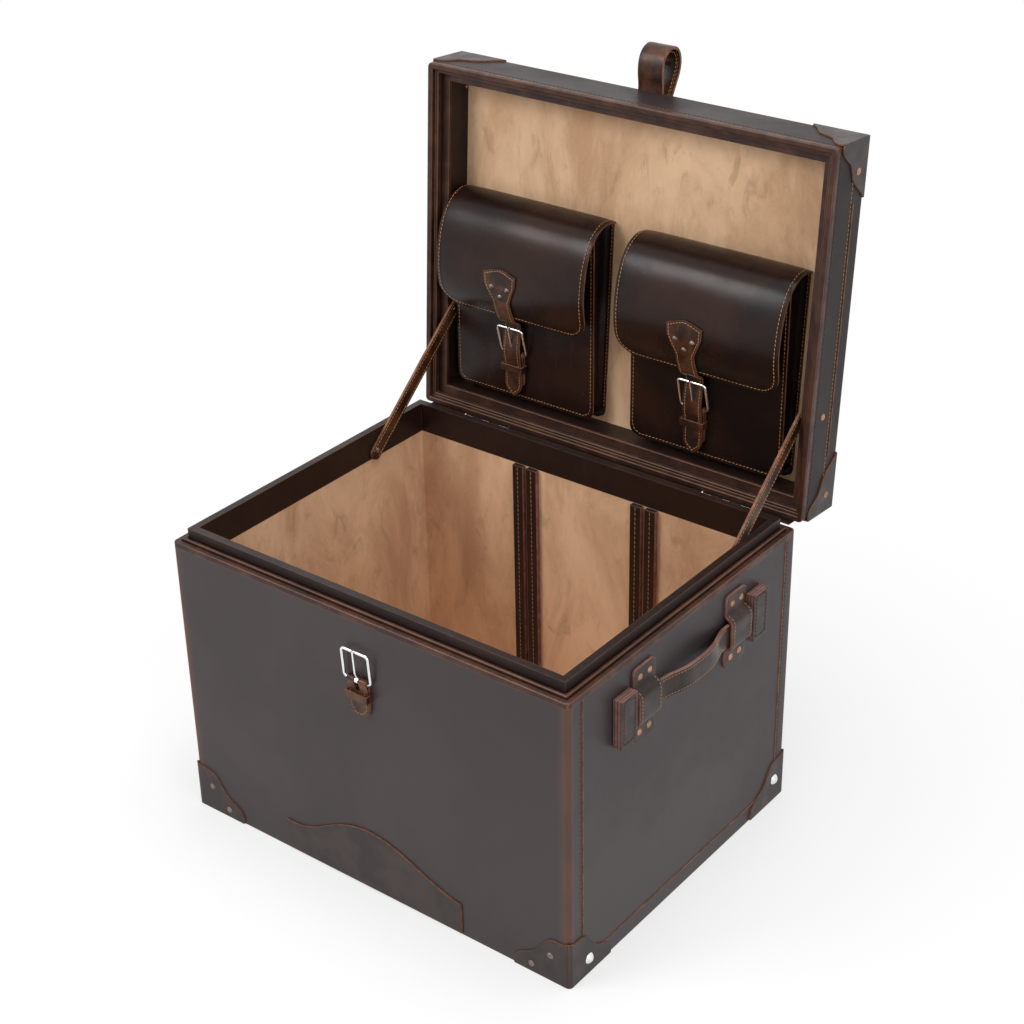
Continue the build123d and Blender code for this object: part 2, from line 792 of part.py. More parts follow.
def stay_rivet_places():
    """Rivets at the base end of each stay, from inside, and at the lid end, from outside."""
    start, _, lid_point = stay_points()
    inside = half_width - inside_inset - stay_wall_gap - stay_leather
    base = [((side * inside, start[0], start[1]), (-side, 0, 0)) for side in (-1, 1)]
    lid = [face_point(name, lid_point[0], lid_point[1]) for name in ("left", "right")]
    return base, lid, half_width - inside


# Lid, drawn closed

def lid_shell():
    """Lid boards, inner frame, covers, beads, wall liner and suede panel."""
    top_span = (panel_z, lid_top - cover_thickness)
    nodes["lid_top_board"] = slab(board_inset, top_span, edge_radius - board_inset)
    wall_inset = board_inset + lid_wall_thickness
    wall_bottom = lid_rim + rim_depth
    walls = four_walls(board_inset, wall_inset, (wall_bottom, panel_z))
    nodes["lid_wall_boards"] = group(walls.values())
    ledge_span = (ledge_z + ledge_bead_height, panel_z)
    frame = four_walls(wall_inset, inner_inset, ledge_span)
    nodes["lid_inner_frame"] = group(frame.values())
    liner = frame_ring(wall_inset, lid_opening_inset, (wall_bottom + lid_bead_height, ledge_z))
    nodes["lid_wall_liner"] = group([liner, frame_ring(inner_inset, inside_inset, ledge_span)])
    nodes["lid_top_cover"] = slab(0, (lid_top - cover_thickness, lid_top), edge_radius)
    nodes["lid_wall_cover"] = frame_ring(0, cover_thickness, (wall_bottom, lid_top - cover_thickness))
    rim = bead_ring(0, binding_width, (lid_rim, wall_bottom), bead_radius, upper=False)
    step_span = (lid_rim + bead_rise + bead_gap + 2, wall_bottom + lid_bead_height)
    step = bead_ring(binding_width + bead_gap, lid_opening_inset, step_span, bead_radius, upper=False)
    step &= frame_ring(wall_inset, lid_opening_inset, step_span) + frame_ring(
        binding_width + bead_gap, lid_opening_inset, (step_span[0], wall_bottom)
    )
    ledge = bead_ring(wall_inset, inside_inset, (ledge_z, ledge_z + ledge_bead_height), bead_radius, upper=False)
    nodes["lid_beads"] = group([rim, step, ledge])
    nodes["lid_suede_panel"] = slab(inner_inset, (lining_face_z, panel_z)) & slab(inside_inset, (0, 2 * lid_top))


def lid_cap(x_side, y_side):
    """A folded cap over a lid corner: two triangular leaves and a top leaf."""
    corner = (x_side * half_width, y_side * half_depth, lid_top)
    along_x = Plane(corner, x_dir=(-x_side, 0, 0), z_dir=(0, y_side, 0))
    along_y = Plane(corner, x_dir=(0, -y_side, 0), z_dir=(x_side, 0, 0))
    depth = lid_height - lid_cap_start
    shape = [(0, depth), (8, depth), (22, 0.66 * depth), (38, 0.5 * depth), (50, 0.22 * depth), (lid_cap_reach, 0)]
    leaves = []
    for plane in (along_x, along_y):
        down = -1 if plane.y_dir.Z > 0 else 1
        leaves.append(cap_leaf([(u, down * v) for u, v in shape], plane))
    x_span = sorted((corner[0], corner[0] + x_side * cap_thickness))
    y_span = sorted((corner[1], corner[1] + y_side * cap_thickness))
    edge = block(x_span, y_span, (lid_top - depth, lid_top))
    cap = leaves[0] + leaves[1] + edge
    inset_x = x_side * (half_width - lid_cap_reach)
    inset_y = y_side * (half_depth - lid_cap_reach)
    outer_x = x_side * (half_width + cap_thickness)
    outer_y = y_side * (half_depth + cap_thickness)
    sweep_path = ThreePointArc(
        (inset_x, outer_y, lid_top),
        (inset_x + x_side * 12, inset_y + y_side * 12, lid_top),
        (outer_x, inset_y, lid_top),
    )
    lines = Polyline(sweep_path @ 1, (outer_x, outer_y, lid_top), sweep_path @ 0)
    top = extrude(make_face(Curve() + [sweep_path] + list(lines.edges())), cap_thickness)
    return cap + top


def lid_caps():
    """Four caps over the lid's corners, and the places of the rivets on their front and rear side leaves."""
    places = {-1: [], 1: []}
    for x_side, x_name in ((-1, "left"), (1, "right")):
        for y_side, y_name in ((-1, "front"), (1, "rear")):
            nodes["lid_cap_" + y_name + "_" + x_name] = lid_cap(x_side, y_side)
            along = y_side * (half_depth - lid_cap_rivet_reach[y_side])
            places[y_side].append(face_point(x_name, along, lid_top - lid_cap_rivet_drop, cap_thickness))
    return places


def closing_strap():
    """The closing strap: flat on the lid's top, up past the front edge, over and hanging down behind."""
    face = lid_top
    t = strap_leather
    edge = -half_depth
    rise_end = edge - strap_rise
    bend = strap_bend_radius
    drop_end = rise_end + strap_drop
    half = strap_width / 2
    root = block((-half, half), (rise_end, edge + strap_root_length), (face, face + t))
    turn = Pos(0, rise_end, face + t + bend) * Rot(0, 90, 0)
    arc = turn * (Cylinder(bend + t, strap_width) - Cylinder(bend, strap_width + 2))
    arc &= block((-half, half), (rise_end - 2 * bend - t, rise_end), (face, face + 2 * bend + 2 * t))
    upper_z = face + t + 2 * bend
    tail = block((-half, half), (rise_end, drop_end), (upper_z, upper_z + t))
    point = Polyline(
        (-half, drop_end, upper_z), (half, drop_end, upper_z), (0, drop_end + strap_tip, upper_z), close=True
    )
    strap = root + arc + tail + extrude(make_face(point), t)
    for i in range(3):
        y = drop_end - 6 - i * strap_hole_pitch
        strap -= Pos(0, y, upper_z + t / 2) * Cylinder(strap_hole_radius, 4 * t)
    nodes["closing_strap"] = strap
    rows = (edge + 14, edge + strap_root_length - 12)
    return [((x, y, face + t), (0, 0, 1)) for y in rows for x in (-half * 0.5, half * 0.5)]


# Pockets, drawn in the closed lid

def bag_front_z(y):
    """Height of a bag's front sheet, outer face, at a distance along the pocket."""
    share = (y - pocket_top_y) / (pocket_bottom_y - pocket_top_y)
    return pocket_back_z - pocket_top_depth + share * (pocket_top_depth - pocket_bottom_depth)


def pocket_bag(centre):
    """An open-topped bag: back, gusset and front in one hollow piece."""
    front_top = pocket_top_y + pocket_top_slant
    outer = [
        (pocket_top_y, pocket_back_z),
        (pocket_bottom_y, pocket_back_z),
        (pocket_bottom_y, bag_front_z(pocket_bottom_y)),
        (front_top, bag_front_z(front_top)),
    ]
    t = pocket_leather
    inner = [
        (pocket_top_y - 1, pocket_back_z - t),
        (pocket_bottom_y - t, pocket_back_z - t),
        (pocket_bottom_y - t, bag_front_z(pocket_bottom_y) + t),
        (pocket_top_y - 1, bag_front_z(pocket_top_y - 1) + t),
    ]
    half = pocket_width / 2
    shell = profile_x(outer, (centre - half, centre + half))
    return shell - profile_x(inner, (centre - half + t, centre + half - t))


def flap_path():
    """Side view of a flap's inner face, from its seam on the panel, out and over the bag."""
    top = flap_hinge_y() + flap_leather
    back = pocket_back_z
    shape = [
        (0, 0.01),
        (-0.012, 0.19),
        (0.0, 0.41),
        (0.066, 0.65),
        (0.18, 0.83),
        (0.37, 0.96),
        (0.62, 1.0),
        (0.83, 0.92),
        (1.0, 0.75),
    ]
    bulge = flap_bulge - flap_leather
    return [(top + u * flap_drop, back - v * bulge) for u, v in shape]


def flap_hinge_y():
    """The flap's seam lies just above the bag's open top."""
    return pocket_top_y - flap_leather - flap_seam_gap


def pocket_flap(centre):
    """A domed flap with rounded lower corners."""
    half = flap_width / 2
    sheet = strip_x(flap_path(), flap_leather, (centre - half, centre + half), side=-1.0)
    ends = [e for e in sheet.edges() if e.center().Y > flap_hinge_y() + flap_drop - 4]
    corner_edges = [e for e in ends if e.length < 1.5 * flap_leather and abs(abs(e.center().X - centre) - half) < 0.1]
    return fillet(corner_edges, flap_corner) if corner_edges else sheet


def flap_outer_curve(x=0.0):
    """Side view of the flap's outer face."""
    outline = band_outline(flap_path(), flap_leather, -1.0)
    outer = outline[len(flap_path()):][::-1]
    return Spline(*[(x, y, z) for y, z in outer])


def flap_outer_point(y):
    """The point of the flap's outer face at a distance along the pocket, on its lower part."""
    curve = flap_outer_curve()
    low, high = 0.2, 1.0
    for _ in range(24):
        middle = (low + high) / 2
        if (curve @ middle).Y < y:
            low = middle
        else:
            high = middle
    return curve @ low, curve % low


def flap_strap_path():
    """Side view of the shield and strap, inner face: down the flap, then under and through the buckle."""
    path = []
    flap_end = flap_hinge_y() + flap_drop
    count = 9
    for i in range(count):
        y = shield_top_y + (flap_end - 1 - shield_top_y) * i / (count - 1)
        point, along = flap_outer_point(y)
        path.append((point.Y + along.Z * flap_strap_gap, point.Z - along.Y * flap_strap_gap))
    last = flap_outer_curve()
    point, along = last @ 1, last % 1
    path.append((
        point.Y + along.Y * flap_edge_run + along.Z * flap_strap_gap,
        point.Z + along.Z * flap_edge_run - along.Y * flap_strap_gap,
    ))
    for back, height in strap_heights:
        y = pocket_buckle_y - back
        path.append((y, bag_front_z(y) - height))
    path.append((pocket_strap_tip_y, bag_front_z(pocket_strap_tip_y) - strap_heights[-1][1]))
    return path


def flap_strap(centre):
    """The shield and strap on the flap: it runs under the far bar, over the heel and into the keeper."""
    wide = shield_width / 2
    half = pocket_strap_width / 2
    sheet = strip_x(flap_strap_path(), pocket_strap_leather, (centre - wide, centre + wide), side=-1.0)
    top = shield_top_y
    tip = pocket_strap_tip_y
    shoulder = top + shield_shoulder
    waist = top + shield_length
    right = [
        (0, top),
        (wide * 0.45, top + shield_shoulder * 0.35),
        (wide, shoulder),
        (wide * 0.97, shoulder + shield_length * 0.3),
        (half, waist),
        (half, tip - 13),
        (half * 0.8, tip - 7),
        (0, tip),
    ]
    left = [(-x, y) for x, y in right[-2:0:-1]]
    outline = Polyline(*[(centre + x, y, 0) for x, y in right + left], close=True)
    return sheet & extrude(make_face(outline), lid_top, dir=(0, 0, 1))


def flap_rivet_places(centre):
    """Three rivets through the shield and the flap."""
    places = []
    for x, y in ((-10.5, 22.0), (10.5, 22.0), (0.0, 32.0)):
        point, along = flap_outer_point(shield_top_y + y)
        lift = flap_strap_gap + pocket_strap_leather
        place = (centre + x, point.Y + along.Z * lift, point.Z - along.Y * lift)
        places.append((place, (0, along.Z, -along.Y)))
    return places


def pocket_buckle_plane(centre):
    """Mounting plane of a pocket's buckle on the bag's sloping front."""
    slope = (bag_front_z(pocket_buckle_y + 1) - bag_front_z(pocket_buckle_y))
    up = Vector(0, -1, -slope).normalized()
    out = Vector(1, 0, 0).cross(up)
    if out.Z > 0:
        out = out * -1
    return Plane((centre, pocket_buckle_y, bag_front_z(pocket_buckle_y)), x_dir=up.cross(out), z_dir=out)


def pockets():
    """Both pockets with their flaps, straps, tabs, keepers and buckles."""
    tabs = []
    keepers = []
    buckles = []
    for name, centre in pocket_centres.items():
        nodes["pocket_bag_" + name] = pocket_bag(centre)
        nodes["pocket_flap_" + name] = pocket_flap(centre)
        strap_centre = centre + pocket_strap_shift
        plane = pocket_buckle_plane(strap_centre)
        frame = plane * buckle_frame(pocket_buckle_tilt)
        prong = plane * buckle_prong(pocket_buckle_tilt)
        tabs.append(plane * buckle_tab())
        keepers.append(plane * keeper(pocket_strap_leather + keeper_slack))
        buckles += [frame, prong]
        room = plane * buckle_prong_room(pocket_buckle_tilt)
        nodes["flap_strap_" + name] = flap_strap(strap_centre) - room
        places = flap_rivet_places(strap_centre)
        pierced = ["flap_strap_" + name, "pocket_flap_" + name]
        shank = pocket_strap_leather + flap_strap_gap + flap_leather
        heads = {"radius": flap_rivet_radius}
        nodes["flap_rivets_" + name] = group(fasten(places, shank, pierced, **heads))
    nodes["pocket_tabs"] = group(tabs)
    nodes["pocket_keepers"] = group(keepers)
    nodes["pocket_buckles"] = group(buckles)


def buckle_prong_room(tilt):
    """The hole that the prong passes through in a strap."""
    reach = buckle_length - 2 * wire_radius
    lift = wire_radius + prong_radius + 0.05
    start = (0, wire_radius, 0.0)
    knee = (0, reach * 0.3, lift)
    tip = (0, reach + wire_radius + 3.0, lift)
    path = FilletPolyline(start, knee, tip, radius=6.0)
    section = Plane(path @ 0, z_dir=path % 0) * Circle(prong_radius + prong_clearance)
    return Pos(0, 0, heel_height()) * Rot(tilt, 0, 0) * sweep(path=path, sections=section)


def trunk_fasteners(handle_places, hinge_places, stay_places):
    """Rivets and studs of the trunk body, with their holes."""
    cap_rivets, studs = cap_fastener_places()
    caps = [name for name in nodes if name.startswith("cap_")]
    sides = ("front", "back", "left", "right", "bottom")
    wall = [side + layer for side in sides for layer in ("_cover", "_board")]
    rivets = fasten(cap_rivets, cap_rivet_shank, caps + wall)
    rivets += fasten(hinge_places, hinge_rivet_shank, ["hinge_base_leaves"] + wall)
    collar = ["stay_left", "stay_right", "collar_leather", "inner_boards"]
    rivets += fasten(stay_places, stay_rivet_shank, collar)
    nodes["trunk_rivets"] = group(rivets)
    nodes["handle_rivets"] = group(fasten(handle_places, handle_rivet_shank, ["handle_loops"] + wall))
    head = {"radius": stud_radius, "dome": stud_dome}
    nodes["chrome_studs"] = group(fasten(studs, cap_rivet_shank, caps + wall, **head))


def lid_fasteners(cap_places, hinge_places, strap_places, stay_places, stay_shank):
    """Rivets of the lid, with their holes; the front cap rivets and the stay rivets go right through."""
    caps = [name for name in nodes if name.startswith("lid_cap_")]
    wall = ["lid_wall_cover", "lid_wall_boards", "lid_inner_frame", "lid_wall_liner", "lid_beads"]
    rivets = fasten(cap_places[-1], inside_inset + cap_thickness, caps + wall, inner_head=True)
    rivets += fasten(cap_places[1], cap_rivet_shank, caps + wall)
    rivets += fasten(hinge_places, hinge_rivet_shank, ["hinge_lid_leaves"] + wall)
    top = ["closing_strap", "lid_top_cover", "lid_top_board"]
    rivets += fasten(strap_places, strap_rivet_shank, top)
    rivets += fasten(stay_places, stay_shank, wall, inner_head=True)
    nodes["lid_rivets"] = group(rivets)
    pierce(["stay_left", "stay_right"], [opened(shank_hole(place, stay_shank)) for place in stay_places])


def main():
    """Build every piece, open the lid, and write one file per node."""
    trunk_boards()
    trunk_linings()
    trunk_covers()
    trunk_rim()
    trunk_caps()
    front_patch()
    front_closure()
    handle_places = handles()
    base_hinge_places, lid_hinge_places = hinges()
    stays()
    base_stay_places, lid_stay_places, stay_shank = stay_rivet_places()
    lid_shell()
    lid_cap_places = lid_caps()
    strap_places = closing_strap()
    pockets()
    trunk_fasteners(handle_places, base_hinge_places, base_stay_places)
    lid_fasteners(lid_cap_places, lid_hinge_places, strap_places, lid_stay_places, stay_shank)
    for name in nodes:
        if name.startswith(lid_names):
            nodes[name] = group([opened(solid) for solid in nodes[name].solids()])
    os.makedirs("parts", exist_ok=True)
    for name, shape in nodes.items():
        export_step(shape, "parts/" + name + ".step")


main()
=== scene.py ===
# %% [markdown]
# # A leather trunk with an open lid
# Boards, linings, hinges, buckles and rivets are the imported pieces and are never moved. Covers, caps and
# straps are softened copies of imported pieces. Leather that is folded or sewn is modelled here.

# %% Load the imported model
import json
import math

import bpy
import numpy as np
from mathutils import Matrix, Vector
from mathutils.bvhtree import BVHTree


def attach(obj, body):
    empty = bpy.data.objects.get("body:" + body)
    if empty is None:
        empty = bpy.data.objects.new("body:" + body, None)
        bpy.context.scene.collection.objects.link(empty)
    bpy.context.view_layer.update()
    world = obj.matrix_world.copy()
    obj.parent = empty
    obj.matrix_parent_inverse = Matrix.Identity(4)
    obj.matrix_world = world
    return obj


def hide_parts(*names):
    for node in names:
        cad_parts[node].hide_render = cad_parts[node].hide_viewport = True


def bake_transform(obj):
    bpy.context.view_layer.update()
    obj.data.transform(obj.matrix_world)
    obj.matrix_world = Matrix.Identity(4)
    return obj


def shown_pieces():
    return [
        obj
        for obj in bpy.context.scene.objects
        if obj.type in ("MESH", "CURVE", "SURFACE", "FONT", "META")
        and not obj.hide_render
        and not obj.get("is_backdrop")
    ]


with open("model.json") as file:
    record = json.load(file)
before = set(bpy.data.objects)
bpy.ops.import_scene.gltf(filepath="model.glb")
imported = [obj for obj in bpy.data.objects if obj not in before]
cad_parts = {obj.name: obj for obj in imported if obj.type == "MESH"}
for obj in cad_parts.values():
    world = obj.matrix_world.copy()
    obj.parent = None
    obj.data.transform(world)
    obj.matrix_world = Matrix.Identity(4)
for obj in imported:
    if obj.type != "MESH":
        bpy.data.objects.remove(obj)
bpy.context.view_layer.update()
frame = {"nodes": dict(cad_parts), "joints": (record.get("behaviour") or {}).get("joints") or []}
nodes = frame["nodes"]

# %% [markdown]
# ## Camera
# The place and the tilt were fitted to the trunk's straight edges. The rows of the matrix are the camera's
# right, up and back directions, and the lens follows from the fitted field of view.

# %% Camera
camera_place = Vector((1.12655, -1.38360, 1.34608))
camera_forward = Vector((-0.54089, 0.68685, -0.48545)).normalized()
camera_right = Vector((0.79175, 0.61058, -0.01828)).normalized()
camera_up = camera_right.cross(camera_forward).normalized()
camera_data = bpy.data.cameras.new("photo_camera")
camera_data.sensor_width = 36.0
camera_data.lens = 2015.72 / 1024 * camera_data.sensor_width
camera_data.clip_end = 50.0
camera = bpy.data.objects.new("photo_camera", camera_data)
bpy.context.scene.collection.objects.link(camera)
turn = Matrix((camera_right, camera_up, -camera_forward)).transposed()
camera.matrix_world = Matrix.Translation(camera_place) @ turn.to_4x4()
bpy.context.scene.camera = camera
bpy.context.scene.view_settings.view_transform = "Standard"
print("lens", round(camera_data.lens, 2))

# %% [markdown]
# ## Helpers for nodes
# The surround, the floor and every finish are small node trees, and these functions keep them short.

# %% Helpers for nodes
def new_group(name, inputs, outputs):
    """A node group of a vector and some numbers with their defaults, and its float outputs."""
    group = bpy.data.node_groups.new(name, "ShaderNodeTree")
    group.interface.new_socket("Vector", in_out="INPUT", socket_type="NodeSocketVector")
    for label, value in inputs.items():
        socket = group.interface.new_socket(label, in_out="INPUT", socket_type="NodeSocketFloat")
        socket.default_value = value
    for label in outputs:
        group.interface.new_socket(label, in_out="OUTPUT", socket_type="NodeSocketFloat")
    return group, group.nodes.new("NodeGroupInput"), group.nodes.new("NodeGroupOutput")


def feed(tree, socket, value):
    """Set a socket to a number, or link a value to it."""
    if isinstance(value, (int, float)):
        socket.default_value = value
    else:
        tree.links.new(value, socket)


def node(tree, kind, **values):
    """A new node with its settings and unlinked inputs filled in."""
    made = tree.nodes.new("ShaderNode" + kind)
    for key, value in values.items():
        if key in made.inputs:
            made.inputs[key].default_value = value
        else:
            setattr(made, key, value)
    return made


def math_node(tree, operation, a, b=None, clamp=False):
    """A Math node whose two inputs are links or plain numbers."""
    made = node(tree, "Math", operation=operation, use_clamp=clamp)
    for socket, value in zip(made.inputs, (a, b)):
        if value is not None:
            feed(tree, socket, value)
    return made.outputs[0]


def noise(tree, vector, scale, detail=3.0, rough=0.5, distortion=0.0):
    """A noise texture's value on a vector."""
    made = node(tree, "TexNoise", Detail=detail, Roughness=rough, Distortion=distortion)
    tree.links.new(vector, made.inputs["Vector"])
    feed(tree, made.inputs["Scale"], scale)
    return made.outputs["Fac"]


def stretch(tree, value, low, high, new_low=0.0, new_high=1.0):
    """Map one range of a value to another, clamped and smoothed."""
    made = node(tree, "MapRange", interpolation_type="SMOOTHSTEP")
    for label, number in (("From Min", low), ("From Max", high), ("To Min", new_low), ("To Max", new_high)):
        made.inputs[label].default_value = number
    tree.links.new(value, made.inputs["Value"])
    return made.outputs["Result"]


def wave(tree, vector, scale, distortion, detail=2.0, **values):
    """A wave texture's value on a vector."""
    made = node(tree, "TexWave", Scale=scale, Distortion=distortion, Detail=detail, **values)
    tree.links.new(vector, made.inputs["Vector"])
    return made.outputs["Fac"]


def weighted(tree, *parts):
    """The sum of some values, each times a number."""
    terms = [math_node(tree, "MULTIPLY", value, share) for value, share in parts]
    total = terms[0]
    for term in terms[1:]:
        total = math_node(tree, "ADD", total, term)
    return total


def patchy(tree, vector, mask, amount, scale, detail, low, high, least):
    """A mask broken up by noise, times an amount."""
    broken = stretch(tree, noise(tree, vector, scale, detail, 0.6), low, high, least, 1.0)
    return math_node(tree, "MULTIPLY", math_node(tree, "MULTIPLY", mask, broken), amount, clamp=True)


def mix_shaders(tree, factor, first, second, surface):
    """Send a mix of two shaders to a surface."""
    mix = node(tree, "MixShader")
    for socket, value in zip(mix.inputs, (factor, first.outputs[0], second.outputs[0])):
        tree.links.new(value, socket)
    tree.links.new(mix.outputs[0], surface)


# %% [markdown]
# ## Light and floor
# Dark waxed leather shows its form by what it mirrors, so large soft lamps and a pale surround do the
# work. The surround is plain white only for the eye and for mirrored rays; the light on the trunk is dimmer.

# %% Light
def softbox(name, place, aim, size, power):
    """A square area lamp that faces a point."""
    data = bpy.data.lights.new(name, "AREA")
    data.size = size
    data.energy = power
    lamp = bpy.data.objects.new(name, data)
    lamp.location = place
    lamp.rotation_euler = (Vector(aim) - Vector(place)).to_track_quat("-Z", "Y").to_euler()
    bpy.context.scene.collection.objects.link(lamp)


trunk_middle = (0.0, 0.0, 0.3)
compartments = (0.0, -0.05, 0.2)
softbox("key_lamp", (-1.3, -1.9, 2.3), trunk_middle, 1.3, 40.0)
softbox("fill_lamp", (2.4, -0.9, 1.5), trunk_middle, 1.6, 16.0)
softbox("top_lamp", (0.3, 0.2, 2.8), compartments, 1.4, 36.0)

white = (1, 1, 1, 1)
surround_light = 0.42
world = bpy.data.worlds.new("studio")
bpy.context.scene.world = world
world.use_nodes = True
tree = world.node_tree
tree.nodes.clear()
rays = node(tree, "LightPath").outputs
looking = math_node(tree, "MAXIMUM", rays["Is Camera Ray"], rays["Is Glossy Ray"])
looking = math_node(tree, "MAXIMUM", looking, rays["Is Transmission Ray"])
lit = node(tree, "Background", Color=white, Strength=surround_light)
seen = node(tree, "Background", Color=white, Strength=1.0)
mix_shaders(tree, looking, lit, seen, node(tree, "OutputWorld").inputs["Surface"])
print("lamps and world ready")

# %% [markdown]
# The floor catches the trunk's shadow nearby. Further off it runs out to plain white, but only for rays
# that come from the camera or from a mirror, so the trunk gets no light from it.

# %% Floor
near_floor, far_floor = 0.30, 0.85
near_white = 0.62
bpy.ops.mesh.primitive_plane_add(size=12.0, location=(0, 0, -0.0005))
floor = bpy.context.object
floor.name = "floor"
floor_look = bpy.data.materials.new("pale_floor")
floor_look.use_nodes = True
tree = floor_look.node_tree
matt = tree.nodes["Principled BSDF"]
matt.inputs["Base Color"].default_value = (0.93, 0.93, 0.93, 1)
matt.inputs["Roughness"].default_value = 0.9
plain = node(tree, "Emission", Strength=1.0)
rays = node(tree, "LightPath").outputs
reach = node(tree, "VectorMath", operation="LENGTH")
tree.links.new(node(tree, "TexCoord").outputs["Object"], reach.inputs[0])
share = stretch(tree, reach.outputs["Value"], near_floor, far_floor, near_white, 1.0)
looking = math_node(tree, "MAXIMUM", rays["Is Camera Ray"], rays["Is Glossy Ray"])
part = math_node(tree, "MULTIPLY", looking, share)
mix_shaders(tree, part, matt, plain, tree.nodes["Material Output"].inputs["Surface"])
floor.data.materials.append(floor_look)
floor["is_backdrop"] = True
print("floor ready")

# %% [markdown]
# ## Shared finishes
# Real leather is never one colour. Four small groups hold what several finishes share: grain, worn
# edges, brushed nap and dust. Each is built once and placed in a material with its own numbers.


# %% Grain group
grain_group, start, end = new_group("Leather_grain", {"Pore scale": 900.0, "Blotch scale": 16.0},
                                    ("Height", "Blotch", "Scuff"))
t = grain_group
pores = node(t, "TexVoronoi", feature="DISTANCE_TO_EDGE")
t.links.new(start.outputs["Vector"], pores.inputs["Vector"])
t.links.new(start.outputs["Pore scale"], pores.inputs["Scale"])
cells = stretch(t, pores.outputs["Distance"], 0.0, 0.22)
fine = noise(t, start.outputs["Vector"], start.outputs["Pore scale"], 4.0, 0.6)
waves = noise(t, start.outputs["Vector"], 55.0, 3.0, 0.5)
height = weighted(t, (cells, 0.35), (fine, 0.45), (waves, 1.6))
clouds = noise(t, start.outputs["Vector"], start.outputs["Blotch scale"], 5.0, 0.62, 0.4)
blotch = stretch(t, clouds, 0.36, 0.68)
scratch_way = node(t, "Mapping", Scale=(1.0, 1.0, 0.22), Rotation=(0.3, 0.5, 0.2))
t.links.new(start.outputs["Vector"], scratch_way.inputs["Vector"])
scuff = stretch(t, noise(t, scratch_way.outputs["Vector"], 120.0, 6.0, 0.7, 0.8), 0.56, 0.74)
t.links.new(height, end.inputs["Height"])
t.links.new(blotch, end.inputs["Blotch"])
t.links.new(scuff, end.inputs["Scuff"])

# %% [markdown]
# Worn edges are found by comparing the surface's own direction with the direction it would have if the
# edges were rounded off: where the two differ, fingers and bags have rubbed, and the brown shows.

# %% Edge wear group
wear_group, start, end = new_group("Edge_wear", {"Radius": 0.0015, "Amount": 1.0}, ("Mask",))
t = wear_group
rounded = node(t, "Bevel", samples=6)
t.links.new(start.outputs["Radius"], rounded.inputs["Radius"])
flat = node(t, "NewGeometry")
dot = node(t, "VectorMath", operation="DOT_PRODUCT")
t.links.new(rounded.outputs["Normal"], dot.inputs[0])
t.links.new(flat.outputs["Normal"], dot.inputs[1])
away = math_node(t, "SUBTRACT", 1.0, dot.outputs["Value"])
edge = stretch(t, away, 0.008, 0.16)
edge = patchy(t, start.outputs["Vector"], edge, start.outputs["Amount"], 60.0, 4.0, 0.28, 0.62, 0.35)
t.links.new(edge, end.inputs["Mask"])

# %% Nap group for suede
nap_group, start, end = new_group("Suede_nap", {}, ("Height", "Cloud", "Mark", "Fibre"))
t = nap_group
brushed = node(t, "Mapping", Rotation=(0.25, 0.35, 0.4), Scale=(1.0, 1.0, 0.45))
t.links.new(start.outputs["Vector"], brushed.inputs["Vector"])
cloud = stretch(t, noise(t, brushed.outputs["Vector"], 10.0, 7.0, 0.66, 0.6), 0.34, 0.66)
mark = stretch(t, noise(t, brushed.outputs["Vector"], 46.0, 6.0, 0.66, 1.2), 0.53, 0.72)
fibre = noise(t, start.outputs["Vector"], 850.0, 4.0, 0.7)
soft = noise(t, start.outputs["Vector"], 14.0, 3.0, 0.5)
height = weighted(t, (fibre, 0.5), (soft, 2.4))
for value, label in ((height, "Height"), (cloud, "Cloud"), (mark, "Mark"), (fibre, "Fibre")):
    t.links.new(value, end.inputs[label])

# %% Dust group
dust_group, start, end = new_group("Dust", {"Amount": 0.1}, ("Mask",))
t = dust_group
facing = node(t, "NewGeometry")
split = node(t, "SeparateXYZ")
t.links.new(facing.outputs["Normal"], split.inputs[0])
upward = stretch(t, split.outputs["Z"], 0.35, 1.0)
specks = stretch(t, noise(t, start.outputs["Vector"], 240.0, 4.0, 0.7), 0.4, 0.75)
settled = math_node(t, "MULTIPLY", upward, specks)
settled = math_node(t, "MULTIPLY", settled, start.outputs["Amount"], clamp=True)
t.links.new(settled, end.inputs["Mask"])
print("groups", [g.name for g in bpy.data.node_groups])

# %% [markdown]
# ## Materials
# A leather finish starts from its dark dye, lets a warmer tone through in blotches, shows brown where
# edges are rubbed, and is a little glossier where it has been handled.

# %% Leather materials
def place_group(tree, group, vector, **values):
    """A group node fed by the object's own coordinates."""
    made = tree.nodes.new("ShaderNodeGroup")
    made.node_tree = group
    tree.links.new(vector, made.inputs["Vector"])
    for label, number in values.items():
        made.inputs[label.replace("_", " ")].default_value = number
    return made


def mix_colour(tree, factor, first, second):
    """Mix two colours, each a link or three numbers."""
    made = node(tree, "Mix", data_type="RGBA")
    sockets = (made.inputs[6], made.inputs[7])
    for socket, value in zip(sockets, (first, second)):
        if isinstance(value, tuple):
            socket.default_value = (*value, 1.0)
        else:
            tree.links.new(value, socket)
    feed(tree, made.inputs[0], factor)
    return made.outputs[2]


def new_material(name):
    """A node material with its Principled shader and its object coordinates."""
    look = bpy.data.materials.new(name)
    look.use_nodes = True
    shader = look.node_tree.nodes["Principled BSDF"]
    vector = node(look.node_tree, "TexCoord").outputs["Object"]
    return look, look.node_tree, shader, vector


